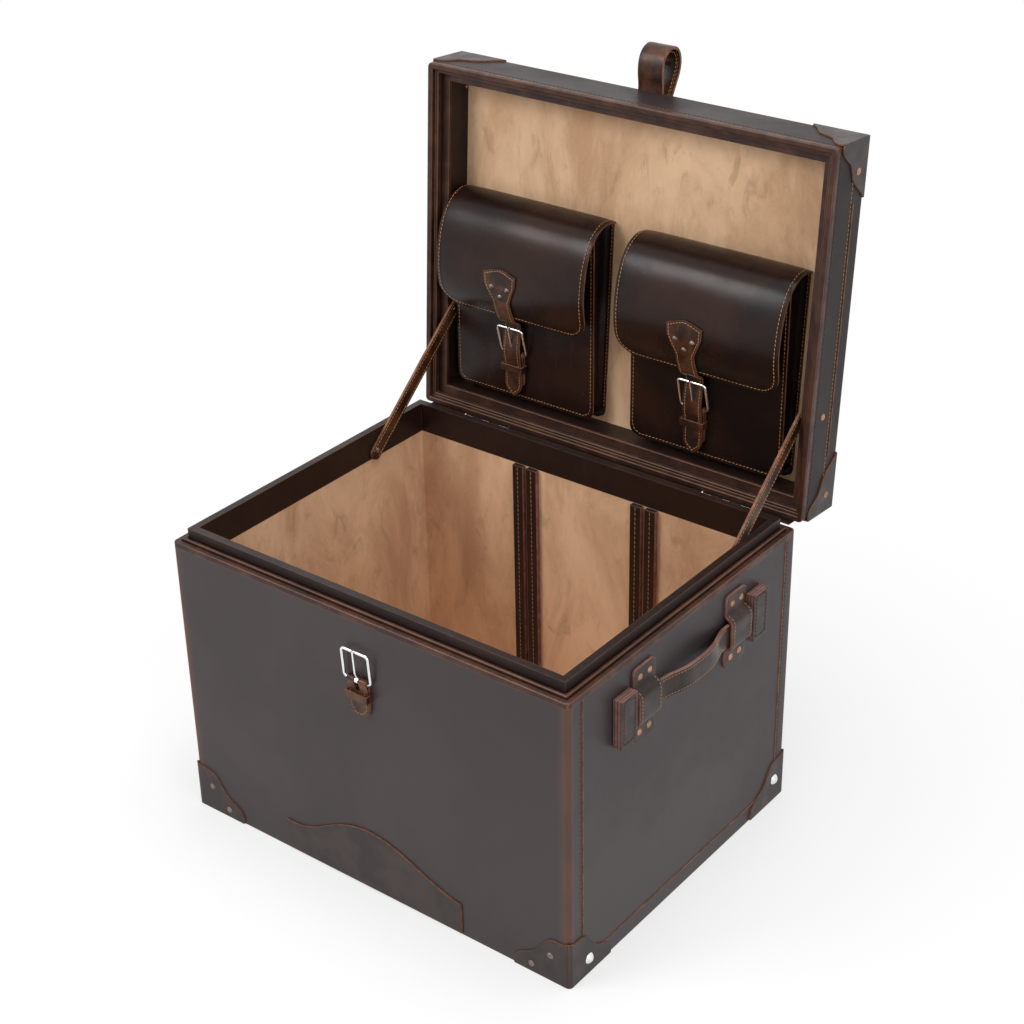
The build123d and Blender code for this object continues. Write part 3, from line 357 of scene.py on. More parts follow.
def rolled_wear_and_highlight_mask(tree, vector, amount):
    """Where a surface turns away from all three axes of its piece, as on a rolled edge or a corner: rubbed
    wear together with a painted highlight along the roll.
    """
    split = node(tree, "SeparateXYZ")
    tree.links.new(node(tree, "TexCoord").outputs["Normal"], split.inputs[0])
    sizes = [math_node(tree, "ABSOLUTE", split.outputs[axis]) for axis in "XYZ"]
    largest = math_node(tree, "MAXIMUM", math_node(tree, "MAXIMUM", sizes[0], sizes[1]), sizes[2])
    turned = stretch(tree, math_node(tree, "SUBTRACT", 1.0, largest), 0.03, 0.26)
    return patchy(tree, vector, turned, amount, 26.0, 4.0, 0.3, 0.62, 0.4)


def corner_mask(tree, vector, amount):
    """A soft upright stripe along the four corners of the trunk, where it is rubbed most."""
    split = node(tree, "SeparateXYZ")
    tree.links.new(vector, split.inputs[0])
    wide = stretch(tree, math_node(tree, "ABSOLUTE", split.outputs["X"]), 0.2350, 0.2485)
    deep = stretch(tree, math_node(tree, "ABSOLUTE", split.outputs["Y"]), 0.1855, 0.1950)
    return patchy(tree, vector, math_node(tree, "MULTIPLY", wide, deep), amount, 17.0, 5.0, 0.25, 0.65, 0.35)


def finish(tree, shader, colour, rough, relief=None):
    """Link a colour, a roughness, and a bump given as height, strength and distance."""
    tree.links.new(colour, shader.inputs["Base Color"])
    feed(tree, shader.inputs["Roughness"], rough)
    if relief:
        height, strength, distance = relief
        bump = node(tree, "Bump", Strength=strength, Distance=distance)
        tree.links.new(height, bump.inputs["Height"])
        tree.links.new(bump.outputs["Normal"], shader.inputs["Normal"])


def leather(name, dye, warm, worn_and_highlight, rough=(0.36, 0.5), pores=900.0, blotches=16.0, wear=(0.0016, 0.9),
            bump=0.12, dust=0.05, scuffs=0.25, gloss=0.28, rolled=0.0, corners=0.0):
    """Waxed leather: dye, warm blotches, scuffs, rubbed edges, rolled corners that are rubbed and carry a
    painted highlight, and a fine grain.
    """
    look, tree, shader, vector = new_material(name)
    grain = place_group(tree, grain_group, vector, Pore_scale=pores, Blotch_scale=blotches)
    edges = place_group(tree, wear_group, vector, Radius=wear[0], Amount=wear[1])
    dusty = place_group(tree, dust_group, vector, Amount=dust)
    colour = mix_colour(tree, grain.outputs["Blotch"], dye, warm)
    masks = [math_node(tree, "MULTIPLY", grain.outputs["Scuff"], scuffs), edges.outputs["Mask"]]
    # Rolled edges take the light wear colour, which there stands for rubbing and for a painted highlight
    # along the roll.
    if rolled:
        masks.append(rolled_wear_and_highlight_mask(tree, vector, rolled))
    if corners:
        masks.append(corner_mask(tree, vector, corners))
    for mask in masks:
        colour = mix_colour(tree, mask, colour, worn_and_highlight)
    colour = mix_colour(tree, dusty.outputs["Mask"], colour, (0.42, 0.38, 0.34))
    shine = stretch(tree, grain.outputs["Blotch"], 0.0, 1.0, rough[1], rough[0])
    shine = math_node(tree, "ADD", shine, math_node(tree, "MULTIPLY", grain.outputs["Scuff"], 0.08))
    finish(tree, shader, colour, shine, (grain.outputs["Height"], bump, 0.0006))
    shader.inputs["Specular IOR Level"].default_value = gloss
    return look


looks = {
    "shell": leather(
        "shell_leather", (0.039, 0.0285, 0.0305), (0.046, 0.0320, 0.0325), (0.125, 0.052, 0.030),
        rough=(0.40, 0.47), blotches=6.0, wear=(0.003, 0.5), dust=0.02, scuffs=0.05, gloss=0.32,
        rolled=0.6, corners=0.8),
    # The lid's leather is a darker, less glossy copy of the shell leather.
    "lid_shell": leather(
        "lid_shell_leather", (0.017, 0.0115, 0.0112), (0.026, 0.0165, 0.0150),
        (0.115, 0.048, 0.027), rough=(0.38, 0.46), blotches=7.0, wear=(0.003, 0.5), dust=0.02,
        scuffs=0.05, gloss=0.16, rolled=0.9),
    "rim": leather(
        "rim_leather", (0.026, 0.0105, 0.0072), (0.070, 0.0275, 0.0165), (0.20, 0.080, 0.044),
        rough=(0.30, 0.42), blotches=34.0, wear=(0.0012, 0.6), bump=0.16, scuffs=0.15, rolled=0.7),
    "collar": leather(
        "collar_leather", (0.0115, 0.0052, 0.0043), (0.022, 0.0095, 0.0070), (0.12, 0.048, 0.028),
        rough=(0.30, 0.42), blotches=14.0, wear=(0.0016, 0.9), dust=0.02, scuffs=0.08, rolled=0.8),
    "trim": leather(
        "trim_leather", (0.027, 0.0185, 0.0175), (0.042, 0.0260, 0.0225), (0.12, 0.052, 0.030),
        rough=(0.36, 0.46), blotches=28.0, wear=(0.0014, 0.5), scuffs=0.12, gloss=0.32, rolled=0.5),
    "pocket": leather(
        "pocket_leather", (0.0065, 0.0036, 0.0033), (0.028, 0.0110, 0.0072), (0.11, 0.047, 0.026),
        rough=(0.22, 0.30), blotches=7.0, wear=(0.0012, 0.4), bump=0.08, dust=0.0, scuffs=0.04,
        gloss=0.22),
    "strap": leather(
        "strap_leather", (0.021, 0.0088, 0.0062), (0.105, 0.040, 0.0185), (0.25, 0.115, 0.06),
        rough=(0.26, 0.36), blotches=42.0, wear=(0.0012, 0.5), bump=0.14, dust=0.02, scuffs=0.15),
    "handle": leather(
        "handle_leather", (0.0150, 0.0085, 0.0068), (0.042, 0.0190, 0.0120), (0.16, 0.075, 0.055),
        rough=(0.27, 0.38), blotches=30.0, wear=(0.0012, 0.4), bump=0.12, scuffs=0.1),
    "cut_edge": leather(
        "cut_edge", (0.135, 0.052, 0.027), (0.25, 0.104, 0.056), (0.33, 0.16, 0.10),
        rough=(0.45, 0.6), pores=1500.0, blotches=80.0, wear=(0.0006, 0.4), bump=0.3),
    "pink_edge": leather(
        "pink_edge", (0.185, 0.078, 0.063), (0.29, 0.138, 0.112), (0.34, 0.19, 0.16),
        rough=(0.45, 0.6), pores=1500.0, blotches=90.0, wear=(0.0006, 0.4), bump=0.3),
}
print("leathers", sorted(looks))

# %% [markdown]
# Suede is the rough side of the hide: matt, pale, brushed in clouds, with darker marks where the nap lies
# over. Sheen gives it the soft bright look at a flat angle.

# %% Suede
look, tree, shader, vector = new_material("beige_suede")
nap = place_group(tree, nap_group, vector)
colour = mix_colour(tree, nap.outputs["Cloud"], (0.50, 0.280, 0.150), (0.78, 0.515, 0.315))
colour = mix_colour(tree, math_node(tree, "MULTIPLY", nap.outputs["Mark"], 0.5), colour, (0.33, 0.19, 0.10))
fibre = stretch(tree, nap.outputs["Fibre"], 0.35, 0.7, 0.0, 0.25)
colour = mix_colour(tree, fibre, colour, (0.72, 0.53, 0.36))
finish(tree, shader, colour, 0.92, (nap.outputs["Height"], 0.35, 0.0008))
shader.inputs["Specular IOR Level"].default_value = 0.2
shader.inputs["Sheen Weight"].default_value = 0.25
looks["suede"] = look


# %% Thread, metal and wood
def thread(name, pale, deep):
    """Waxed thread: two tones along a fine twist."""
    look, tree, shader, vector = new_material(name)
    twist = wave(tree, vector, 700.0, 1.5, wave_type="BANDS", bands_direction="DIAGONAL")
    finish(tree, shader, mix_colour(tree, twist, deep, pale), 0.6, (twist, 0.4, 0.0002))
    return look


def metal(name, bright, tarnish, rough, tarnish_share, brushed=0.0):
    """Bare metal with tarnish in patches and dust settled on it."""
    look, tree, shader, vector = new_material(name)
    grain = place_group(tree, grain_group, vector, Pore_scale=700.0, Blotch_scale=160.0)
    dusty = place_group(tree, dust_group, vector, Amount=0.06)
    spots = math_node(tree, "MULTIPLY", grain.outputs["Blotch"], tarnish_share)
    colour = mix_colour(tree, spots, bright, tarnish)
    colour = mix_colour(tree, dusty.outputs["Mask"], colour, (0.45, 0.42, 0.38))
    duller = math_node(tree, "MULTIPLY", grain.outputs["Blotch"], 0.12 + brushed)
    shine = math_node(tree, "ADD", rough, duller)
    finish(tree, shader, colour, shine, (grain.outputs["Height"], 0.08 + brushed, 0.0002))
    shader.inputs["Metallic"].default_value = 1.0
    return look


looks["tan_thread"] = thread("tan_thread", (0.56, 0.29, 0.11), (0.33, 0.15, 0.055))
looks["dark_thread"] = thread("dark_thread", (0.095, 0.042, 0.026), (0.022, 0.011, 0.008))
looks["copper"] = metal("copper_rivet", (0.50, 0.25, 0.155), (0.24, 0.10, 0.055), 0.3, 0.8)
looks["dark_rivet"] = metal("dark_rivet", (0.27, 0.21, 0.19), (0.10, 0.07, 0.06), 0.38, 0.7)
looks["chrome"] = metal("chrome_plate", (0.86, 0.86, 0.87), (0.55, 0.55, 0.56), 0.07, 0.35)
looks["steel"] = metal("dark_steel", (0.10, 0.085, 0.075), (0.07, 0.058, 0.05), 0.4, 0.6, brushed=0.1)

look, tree, shader, vector = new_material("poplar_board")
rings = wave(tree, vector, 9.0, 6.0, 3.0, wave_type="RINGS")
finish(tree, shader, mix_colour(tree, rings, (0.30, 0.18, 0.10), (0.42, 0.27, 0.16)), 0.7)
looks["wood"] = look

look, tree, shader, vector = new_material("punched_hole")
# The near-black colour is painted shade that stands for the depth of a punched hole.
painted_hole_shade = mix_colour(tree, noise(tree, vector, 900.0), (0.004, 0.003, 0.002), (0.014, 0.008, 0.006))
finish(tree, shader, painted_hole_shade, 0.8)
looks["hole"] = look
print("materials", len(looks))

# %% [markdown]
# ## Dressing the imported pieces
# Boards, beads, linings, rivets, hinges and buckles already have their real shape, so they only get a finish.

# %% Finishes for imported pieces
def set_looks(piece, *names):
    """Give a piece its materials by their short names."""
    piece.data.materials.clear()
    for name in names:
        piece.data.materials.append(looks[name])


def dress(look, *names):
    """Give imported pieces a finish."""
    for name in names:
        set_looks(nodes[name], look)


dress("wood", "bottom_board", "front_board", "back_board", "left_board", "right_board", "inner_boards",
      "lid_top_board", "lid_wall_boards", "lid_inner_frame")
dress("shell", "bottom_cover")
dress("rim", "rim_beads", "lid_beads")
dress("collar", "collar_leather", "lid_wall_liner")
dress("suede", "suede_lining", "lid_suede_panel")
dress("copper", "handle_rivets", "lid_rivets")
dress("dark_rivet", "trunk_rivets", "flap_rivets_left", "flap_rivets_right")
dress("chrome", "chrome_studs", "front_buckle_frame", "front_prong", "pocket_buckles")
dress("steel", "hinge_base_leaves", "hinge_lid_leaves", "hinge_pins")
print("dressed")

# %% [markdown]
# ## Tools for leather pieces
# A cut leather strap has a soft face and a waxed edge. `softened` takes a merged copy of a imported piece,
# rounds its edges with a bevel, and `wax_edges` gives the narrow sides their own colour.

# %% Tools for leather pieces
def deselect():
    """Nothing selected and object mode."""
    if bpy.context.object and bpy.context.object.mode != "OBJECT":
        bpy.ops.object.mode_set(mode="OBJECT")
    bpy.ops.object.select_all(action="DESELECT")


def pick(piece):
    """Select one piece alone and make it active."""
    deselect()
    piece.select_set(True)
    bpy.context.view_layer.objects.active = piece


def apply_modifier(piece, kind, **values):
    """Add a modifier, set it and apply it."""
    pick(piece)
    made = piece.modifiers.new(kind.lower(), kind)
    for key, value in values.items():
        setattr(made, key, value)
    bpy.ops.object.modifier_apply(modifier=made.name)


def edit_whole(piece, *steps):
    """Run mesh operators, each with its settings, on all of a piece."""
    pick(piece)
    bpy.ops.object.mode_set(mode="EDIT")
    bpy.ops.mesh.select_all(action="SELECT")
    for operator, values in steps:
        operator(**values)
    bpy.ops.object.mode_set(mode="OBJECT")


def joined(parts, name):
    """Several objects joined into one."""
    deselect()
    for part in parts:
        part.select_set(True)
    bpy.context.view_layer.objects.active = parts[0]
    bpy.ops.object.join()
    whole = bpy.context.object
    whole.name = name
    return whole


def merged_copy(source, name):
    """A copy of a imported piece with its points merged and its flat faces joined."""
    piece = bpy.data.objects.new(name, nodes[source].data.copy())
    bpy.context.scene.collection.objects.link(piece)
    pick(piece)
    bpy.ops.mesh.customdata_custom_splitnormals_clear()
    edit_whole(piece, (bpy.ops.mesh.remove_doubles, {"threshold": 0.00001}),
               (bpy.ops.mesh.dissolve_limited, {"angle_limit": math.radians(0.6)}))
    return piece


def smooth(piece, angle=40.0):
    """Shade smooth except across sharp edges."""
    pick(piece)
    bpy.ops.object.shade_smooth_by_angle(angle=math.radians(angle))


def round_edges(piece, width, angle=32.0):
    """Round the sharp edges; the large faces keep flat shading through weighted normals."""
    apply_modifier(piece, "BEVEL", width=width, segments=3, limit_method="ANGLE",
                   angle_limit=math.radians(angle), use_clamp_overlap=True, miter_outer="MITER_SHARP")
    smooth(piece)
    apply_modifier(piece, "WEIGHTED_NORMAL", mode="FACE_AREA", weight=90, keep_sharp=True)
    return piece


def wax_edges(piece, face_look, edge_look, is_edge):
    """One look for the faces and another for the cut edges that a test on centre and normal picks."""
    set_looks(piece, face_look, edge_look)
    for polygon in piece.data.polygons:
        polygon.material_index = 1 if is_edge(polygon.center, polygon.normal) else 0


def keep(piece, body, slot, *replaced):
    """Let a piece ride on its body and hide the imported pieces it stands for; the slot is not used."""
    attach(piece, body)
    if replaced:
        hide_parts(*replaced)
    return piece


def soft_piece(source, name, body, slot, look, is_edge, width=0.0005, edge_look="cut_edge"):
    """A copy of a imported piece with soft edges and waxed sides, kept in its place."""
    piece = round_edges(merged_copy(source, name), width)
    wax_edges(piece, look, edge_look, is_edge)
    return keep(piece, body, slot, source)


def side_along(axis):
    """A test for the sides that look along an axis, numbered from 0."""
    return lambda centre, normal: abs(normal[axis]) > 0.6


# %% [markdown]
# ## Opening the lid
# Pieces of the lid are easier to lay out with the lid closed, where its faces are level. They are then
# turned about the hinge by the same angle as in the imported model.

# %% Lid turn
hinge = next(joint for joint in frame["joints"] if joint["name"] == "lid_hinge")
hinge_place = Vector(hinge["pos_m"])
open_angle = math.radians(hinge["range_deg"][1])
lid_turn = (Matrix.Translation(hinge_place) @ Matrix.Rotation(-open_angle, 4, "X")
            @ Matrix.Translation(-hinge_place))
lid_back = lid_turn.inverted()


def open_with_lid(piece):
    """Turn a piece's mesh from the closed to the open lid."""
    piece.data.transform(lid_turn)
    piece.data.update()
    return piece


def search_tree(piece, turn=Matrix()):
    """A piece's mesh as a search tree, turned by a matrix; lid_back closes the lid."""
    points = [turn @ v.co for v in piece.data.vertices]
    return BVHTree.FromPolygons(points, [list(p.vertices) for p in piece.data.polygons])


print("lid turn", round(math.degrees(open_angle), 1))

# %% [markdown]
# ## Thread
# A saddle stitch shows as a short rounded bar between two holes. One stitch is modelled from a sphere,
# and a row is many copies of its mesh laid along a line, tilted a little like real hand sewing.

# %% Stitch rows
def model_stitch():
    """One stitch of unit length, radius one, with sunk ends."""
    deselect()
    bpy.ops.mesh.primitive_uv_sphere_add(segments=8, ring_count=5, radius=1.0)
    ball = bpy.context.object
    edit_whole(ball, (bpy.ops.transform.resize, {"value": (1.0, 1.0, 0.5)}))
    points = np.array([v.co[:] for v in ball.data.vertices])
    faces = [list(p.vertices) for p in ball.data.polygons]
    bpy.data.objects.remove(ball)
    return points, faces


stitch_points, stitch_faces = model_stitch()
thread_radius = 0.00042


def stations(line, pitch):
    """Evenly spaced places on a line of points with normals: middle, direction and normal of each."""
    points = np.array([p for p, n in line], float)
    normals = np.array([n for p, n in line], float)
    steps = np.linalg.norm(np.diff(points, axis=0), axis=1)
    far = np.concatenate([[0.0], np.cumsum(steps)])
    count = max(1, int(round(far[-1] / pitch)))
    marks = (np.arange(count) + 0.5) * far[-1] / count
    half = far[-1] / count * 0.5

    def at(values, where):
        return np.stack([np.interp(where, far, values[:, k]) for k in range(3)], axis=1)

    along = at(points, np.minimum(marks + half, far[-1])) - at(points, np.maximum(marks - half, 0.0))
    along /= np.linalg.norm(along, axis=1)[:, None]
    up = at(normals, marks)
    up -= (up * along).sum(1)[:, None] * along
    up /= np.linalg.norm(up, axis=1)[:, None]
    return at(points, marks), along, up, far[-1] / count


def sew(name, lines, body, look="tan_thread", pitch=0.0044, radius=thread_radius, slot="trim_leather"):
    """Rows of stitches along several lines, as one piece. With no body, it is left unattached."""
    slant = 0.12
    overlap = 0.78
    verts = []
    faces = []
    for line in lines:
        middles, along, up, step = stations(line, pitch)
        for m, a, u, c in zip(middles, along, up, np.cross(up, along)):
            way = a + c * slant
            way /= np.linalg.norm(way)
            base = len(verts)
            laid = (m + np.outer(stitch_points[:, 2] * step * overlap, way)
                    + np.outer(stitch_points[:, 0] * radius, np.cross(u, way))
                    + np.outer(stitch_points[:, 1] * radius, u))
            verts.extend(laid.tolist())
            faces.extend([[base + i for i in f] for f in stitch_faces])
    mesh = bpy.data.meshes.new(name)
    mesh.from_pydata(verts, [], faces)
    mesh.materials.append(looks[look])
    row = bpy.data.objects.new(name, mesh)
    bpy.context.scene.collection.objects.link(row)
    smooth(row, 80.0)
    return keep(row, body, slot) if body else row


def straight(a, b, normal):
    """A straight line of thread between two points."""
    return [(Vector(a), Vector(normal)), (Vector(b), Vector(normal))]


def lid_line(line):
    """Turn a line of points and normals open with the lid."""
    turn = lid_turn.to_3x3()
    return [(lid_turn @ Vector(p), turn @ Vector(n)) for p, n in line]


def drape(outline, tree, direction):
    """Drop an outline's points on a surface along a direction; points that miss are left out."""
    line = []
    way = Vector(direction).normalized()
    for point in outline:
        hit, normal = tree.ray_cast(Vector(point), way)[:2]
        if hit is not None:
            line.append((hit, normal if normal.dot(way) < 0 else -normal))
    return line


def dense(points, step=0.002):
    """A polyline with a point every few millimetres."""
    found = []
    for a, b in zip(points[:-1], points[1:]):
        a, b = Vector(a), Vector(b)
        count = max(1, int((b - a).length / step))
        found += [a.lerp(b, i / count) for i in range(count)]
    found.append(Vector(points[-1]))
    return found


print("stitch faces", len(stitch_faces))

# %% [markdown]
# ## Covers, straps, caps and patches
# These are flat leather cut with a knife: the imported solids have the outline, so each gets a softened copy.
# A cut side is told from a face by where it lies: a face looks straight out of the wall that carries it.

# %% Wall sizes and covers
half_width = 0.250
half_depth = 0.196
base_height = 0.330
lid_top = 0.389
covers = {"trunk": ("front_cover", "back_cover", "left_cover", "right_cover"),
          "lid": ("lid_top_cover", "lid_wall_cover")}
for body, names in covers.items():
    for name in names:
        cover = round_edges(merged_copy(name, name + "_leather"), 0.0009, angle=60.0)
        set_looks(cover, "lid_shell" if body == "lid" else "shell")
        keep(cover, body, "outer_leather", name)
print("covers softened")

# %% [markdown]
# A cap is leather drawn over a corner, so its outer edges are rounder than its cut sides. Those edges are
# picked by place: they lie on two outer faces at once.

# %% Caps, patch, tab, keeper and rails


def cap_side(with_top):
    """A test for the cut sides of a folded cap; the folds between its leaves aren't cut."""
    def is_edge(centre, normal):
        if with_top:
            centre = lid_back @ centre
            normal = lid_back.to_3x3() @ normal
        on = (abs(centre.x) > half_width, abs(centre.y) > half_depth, with_top and centre.z > lid_top)
        straight_out = any(o and abs(n) > 0.8 for o, n in zip(on, normal))
        return not straight_out and sum(on) < 2
    return is_edge


def round_corner(piece, with_top, width):
    """Round the edges of a cap that lie on two of its outer faces."""
    pick(piece)
    bpy.ops.object.mode_set(mode="EDIT")
    bpy.ops.mesh.select_mode(type="EDGE")
    bpy.ops.mesh.select_all(action="DESELECT")
    bpy.ops.object.mode_set(mode="OBJECT")
    skin = 0.0013
    points = [lid_back @ v.co if with_top else v.co for v in piece.data.vertices]

    def faces_touched(p):
        level = p.z > lid_top + skin if with_top else p.z < 0.0001
        return (abs(p.x) > half_width + skin, abs(p.y) > half_depth + skin, level)

    touched = [faces_touched(p) for p in points]
    for edge in piece.data.edges:
        a, b = (touched[i] for i in edge.vertices)
        edge.select = sum(x and y for x, y in zip(a, b)) >= 2
    bpy.ops.object.mode_set(mode="EDIT")
    bpy.ops.mesh.bevel(offset=width, segments=4, profile=0.5, clamp_overlap=True)
    bpy.ops.object.mode_set(mode="OBJECT")


def soft_cap(source, body, with_top, corner_width):
    """A cap with round outer edges and softened cut sides."""
    cap = merged_copy(source, source + "_leather")
    round_corner(cap, with_top, corner_width)
    round_edges(cap, 0.0006)
    wax_edges(cap, "trim", "cut_edge", cap_side(with_top))
    keep(cap, body, "trim_leather", source)


for name in ("cap_front_left", "cap_front_right", "cap_rear_left", "cap_rear_right"):
    soft_cap(name, "trunk", False, 0.0028)
    soft_cap("lid_" + name, "lid", True, 0.0012)
soft_piece("front_patch", "front_patch_leather", "trunk", "trim_leather", "trim",
           lambda centre, normal: abs(normal.y) < 0.8, 0.0007)
tab = soft_piece("front_buckle_tab", "front_tab_leather", "trunk", "trim_leather", "strap", side_along(0))
soft_piece("front_keeper", "front_keeper_leather", "trunk", "trim_leather", "strap", side_along(2))
soft_piece("divider_rails", "divider_rail_leather", "trunk", "rails", "collar", side_along(0), 0.0007,
           "pink_edge")
print("caps and straps softened")

# %% [markdown]
# ## Handles
# Each loop is one smooth band that leaves the wall, arches over the grip and comes back. It is drawn as a
# line seen from the end, made into a sheet and thickened.

# %% Smooth lines and sheets
def smooth_line(points, per=10):
    """A smooth line through points, Catmull-Rom style, with extra points between them."""
    pts = np.array([points[0], *points, points[-1]], float)
    pts[0] = 2 * pts[1] - pts[2]
    pts[-1] = 2 * pts[-2] - pts[-3]
    found = []
    for i in range(1, len(pts) - 2):
        a, b, c, d = pts[i - 1:i + 3]
        for k in range(per):
            t = k / per
            found.append(0.5 * (2 * b + (c - a) * t + (2 * a - 5 * b + 4 * c - d) * t * t
                                + (3 * b - a - 3 * c + d) * t ** 3))
    found.append(pts[-2])
    return np.array(found)


def evenly(points, count):
    """The same line with evenly spaced points, and its length."""
    steps = np.linalg.norm(np.diff(points, axis=0), axis=1)
    far = np.concatenate([[0.0], np.cumsum(steps)])
    marks = np.linspace(0.0, far[-1], count)
    return np.stack([np.interp(marks, far, points[:, k]) for k in range(points.shape[1])], axis=1), far[-1]


def on_line(line, length, far, out=0.0):
    """A place at a distance along a side view, pushed out by some amount, and its outward direction."""
    i = min(max(far / length, 0.0), 1.0) * (len(line) - 1)
    at = np.array([np.interp(i, range(len(line)), line[:, k]) for k in range(2)])
    low, high = line[max(int(i) - 1, 0)], line[min(int(i) + 2, len(line) - 1)]
    run = (high - low) / np.linalg.norm(high - low)
    facing = np.array([run[1], -run[0]])
    return at + facing * out, facing


def sheet_mesh(name, columns, rows, place):
    """A grid whose corners are put in place by a function of column and row, each from 0 to 1."""
    deselect()
    bpy.ops.mesh.primitive_grid_add(x_subdivisions=columns, y_subdivisions=rows, size=2.0)
    piece = bpy.context.object
    piece.name = name
    for v in piece.data.vertices:
        v.co = place((v.co.x + 1) / 2, (v.co.y + 1) / 2)
    piece.data.update()
    return piece


def thicken(piece, thickness, face_look, edge_look, round_edge=0.0006, outward=1.0):
    """Give a sheet its thickness, a cut edge of its own colour, and rounded borders."""
    set_looks(piece, face_look, edge_look)
    apply_modifier(piece, "SOLIDIFY", thickness=thickness, offset=outward, use_even_offset=True,
                   material_offset_rim=1)
    apply_modifier(piece, "BEVEL", width=round_edge, segments=3, limit_method="ANGLE",
                   angle_limit=math.radians(50))
    edit_whole(piece, (bpy.ops.mesh.normals_make_consistent, {"inside": False}))
    smooth(piece, 45.0)
    return piece


def lid_sheet(name, columns, rows, place, thickness, round_edge, outward=-1.0, look="pocket"):
    """A thick sheet that is laid out with the lid closed, then turned open."""
    sheet = sheet_mesh(name, columns, rows, place)
    return open_with_lid(thicken(sheet, thickness, look, "cut_edge", round_edge, outward))


def cut_corner(half, corner, left):
    """Half a strip's width at some distance from its end, drawn in round its corners."""
    if left >= corner:
        return half
    return half - corner + math.sqrt(max(corner ** 2 - (corner - left) ** 2, 0.0))


# %% Handle loops
handle_height = 0.272
loop_leather = 0.0035
loop_half_width = 0.018
loop_places = (-0.080, 0.080)
loop_half_view = [(0.0080, 0.0), (0.0080, 0.009), (0.0073, 0.0138), (0.004, 0.0158), (0.0004, 0.0195),
                  (0.0, 0.026), (0.0, 0.034), (0.0, 0.042)]
loop_side_view = [(out, -up) for out, up in reversed(loop_half_view[1:])] + loop_half_view
loop_line, loop_length = evenly(smooth_line(loop_side_view), 60)


def loop_point(side, y, share, out=0.0):
    """A point of a loop's inner line, and its outward direction."""
    at, facing = on_line(loop_line, loop_length, share * loop_length, out)
    point = Vector((side * (half_width + at[0]), y, handle_height + at[1]))
    return point, Vector((side * facing[0], 0, facing[1]))


def handle_loop(side, middle):
    """One loop: a band across the grip, with rounded ends."""
    def place(u, v):
        half = cut_corner(loop_half_width, 0.006, min(v, 1 - v) * loop_length)
        return loop_point(side, middle + (2 * u - 1) * half, v)[0]

    sheet = sheet_mesh("handle_loop_part", 12, 90, place)
    return thicken(sheet, loop_leather, "handle", "pink_edge", 0.0007, side)


above = 0.0001
handle_seams = []
loop_parts = []
for side in (-1, 1):
    for middle in loop_places:
        loop_parts.append(handle_loop(side, middle))
        for edge in (-1, 1):
            y = middle + edge * (loop_half_width - 0.003)
            handle_seams.append([loop_point(side, y, share, loop_leather + above)
                                 for share in np.linspace(0.24, 0.76, 40)])
keep(joined(loop_parts, "handle_loop_leather"), "trunk", "handle_leather", "handle_loops")
sew("handle_loop_thread", handle_seams, "trunk", pitch=0.0042, slot="handle_leather")

# %% [markdown]
# The grips are long straps with blocks of stacked leather at both ends. The stack shows as fine bands on
# the sides of the blocks, which a wave pattern along X draws at the thickness of one layer.

# %% Stacked leather edge and grips
look, tree, shader, vector = new_material("stacked_edge")
bands = wave(tree, vector, 92.0, 0.6, wave_type="BANDS", bands_direction="X")
layers = stretch(tree, bands, 0.02, 0.22)
speckle = place_group(tree, grain_group, vector, Pore_scale=1500.0, Blotch_scale=90.0)
edge_tone = mix_colour(tree, speckle.outputs["Blotch"], (0.17, 0.078, 0.064), (0.27, 0.135, 0.112))
finish(tree, shader, mix_colour(tree, layers, (0.035, 0.018, 0.015), edge_tone), 0.55, (layers, 0.5, 0.0005))
looks["stack"] = look

block_start = 0.1015
block_end = 0.128
block_face = 0.0111
block_half_height = 0.023
grip_seam_reach = 0.056
grip_seam_height = 0.0098
for side, side_name in ((-1, "left"), (1, "right")):
    body = "handle_" + side_name
    grip = soft_piece("handle_grip_" + side_name, "handle_grip_leather_" + side_name, body, "handle_leather",
                      "handle", side_along(2), 0.0009, "pink_edge")
    grip.data.materials.append(looks["stack"])
    for polygon in grip.data.polygons:
        if abs(polygon.center.y) > block_start and abs(polygon.normal.x) < 0.6:
            polygon.material_index = 2
    rows = []
    x = side * (half_width + block_face)
    low, high = handle_height - block_half_height, handle_height + block_half_height
    for way in (-1, 1):
        near, far = way * (block_start + 0.0045), way * (block_end - 0.004)
        corners = [(x, near, low), (x, far, low), (x, far, high), (x, near, high), (x, near, low)]
        rows += [straight(a, b, (side, 0, 0)) for a, b in zip(corners[:-1], corners[1:])]
    sew("handle_block_thread_" + side_name, rows, body, "dark_thread", 0.0048, 0.0006, "handle_leather")
    grip_tree = search_tree(grip)
    rows = []
    for z in (handle_height - grip_seam_height, handle_height + grip_seam_height):
        outline = dense([(side * 0.3, -grip_seam_reach, z), (side * 0.3, grip_seam_reach, z)], 0.003)
        rows.append(drape(outline, grip_tree, (-side, 0, 0)))
    sew("handle_grip_thread_" + side_name, rows, body, "tan_thread", 0.004, 0.0003, "handle_leather")
print("handles done")

# %% [markdown]
# ## Pocket flaps
# A flap is one thick sheet that leaves the panel, bellies out over the bag and comes down to rounded
# corners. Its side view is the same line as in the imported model; the corners are cut by narrowing the rows.

# %% Flap
pocket_centres = {"left": -0.127, "right": 0.112}
strap_shift = -0.010
pocket_half = 0.095
pocket_top = -0.052
pocket_bottom = 0.170
panel_face = 0.3763
flap_leather = 0.0025
flap_half = 0.0995
flap_corner = 0.026
flap_drop = 0.121
flap_bulge = 0.0545
flap_top = pocket_top - 0.0015
flap_side_view = [(0, 0.01), (-0.012, 0.19), (0.0, 0.41), (0.066, 0.65), (0.18, 0.83), (0.37, 0.96),
                  (0.62, 1.0), (0.83, 0.92), (1.0, 0.75)]
flap_line, flap_length = evenly(smooth_line([(flap_top + u * flap_drop, panel_face - v * flap_bulge)
                                             for u, v in flap_side_view]), 80)


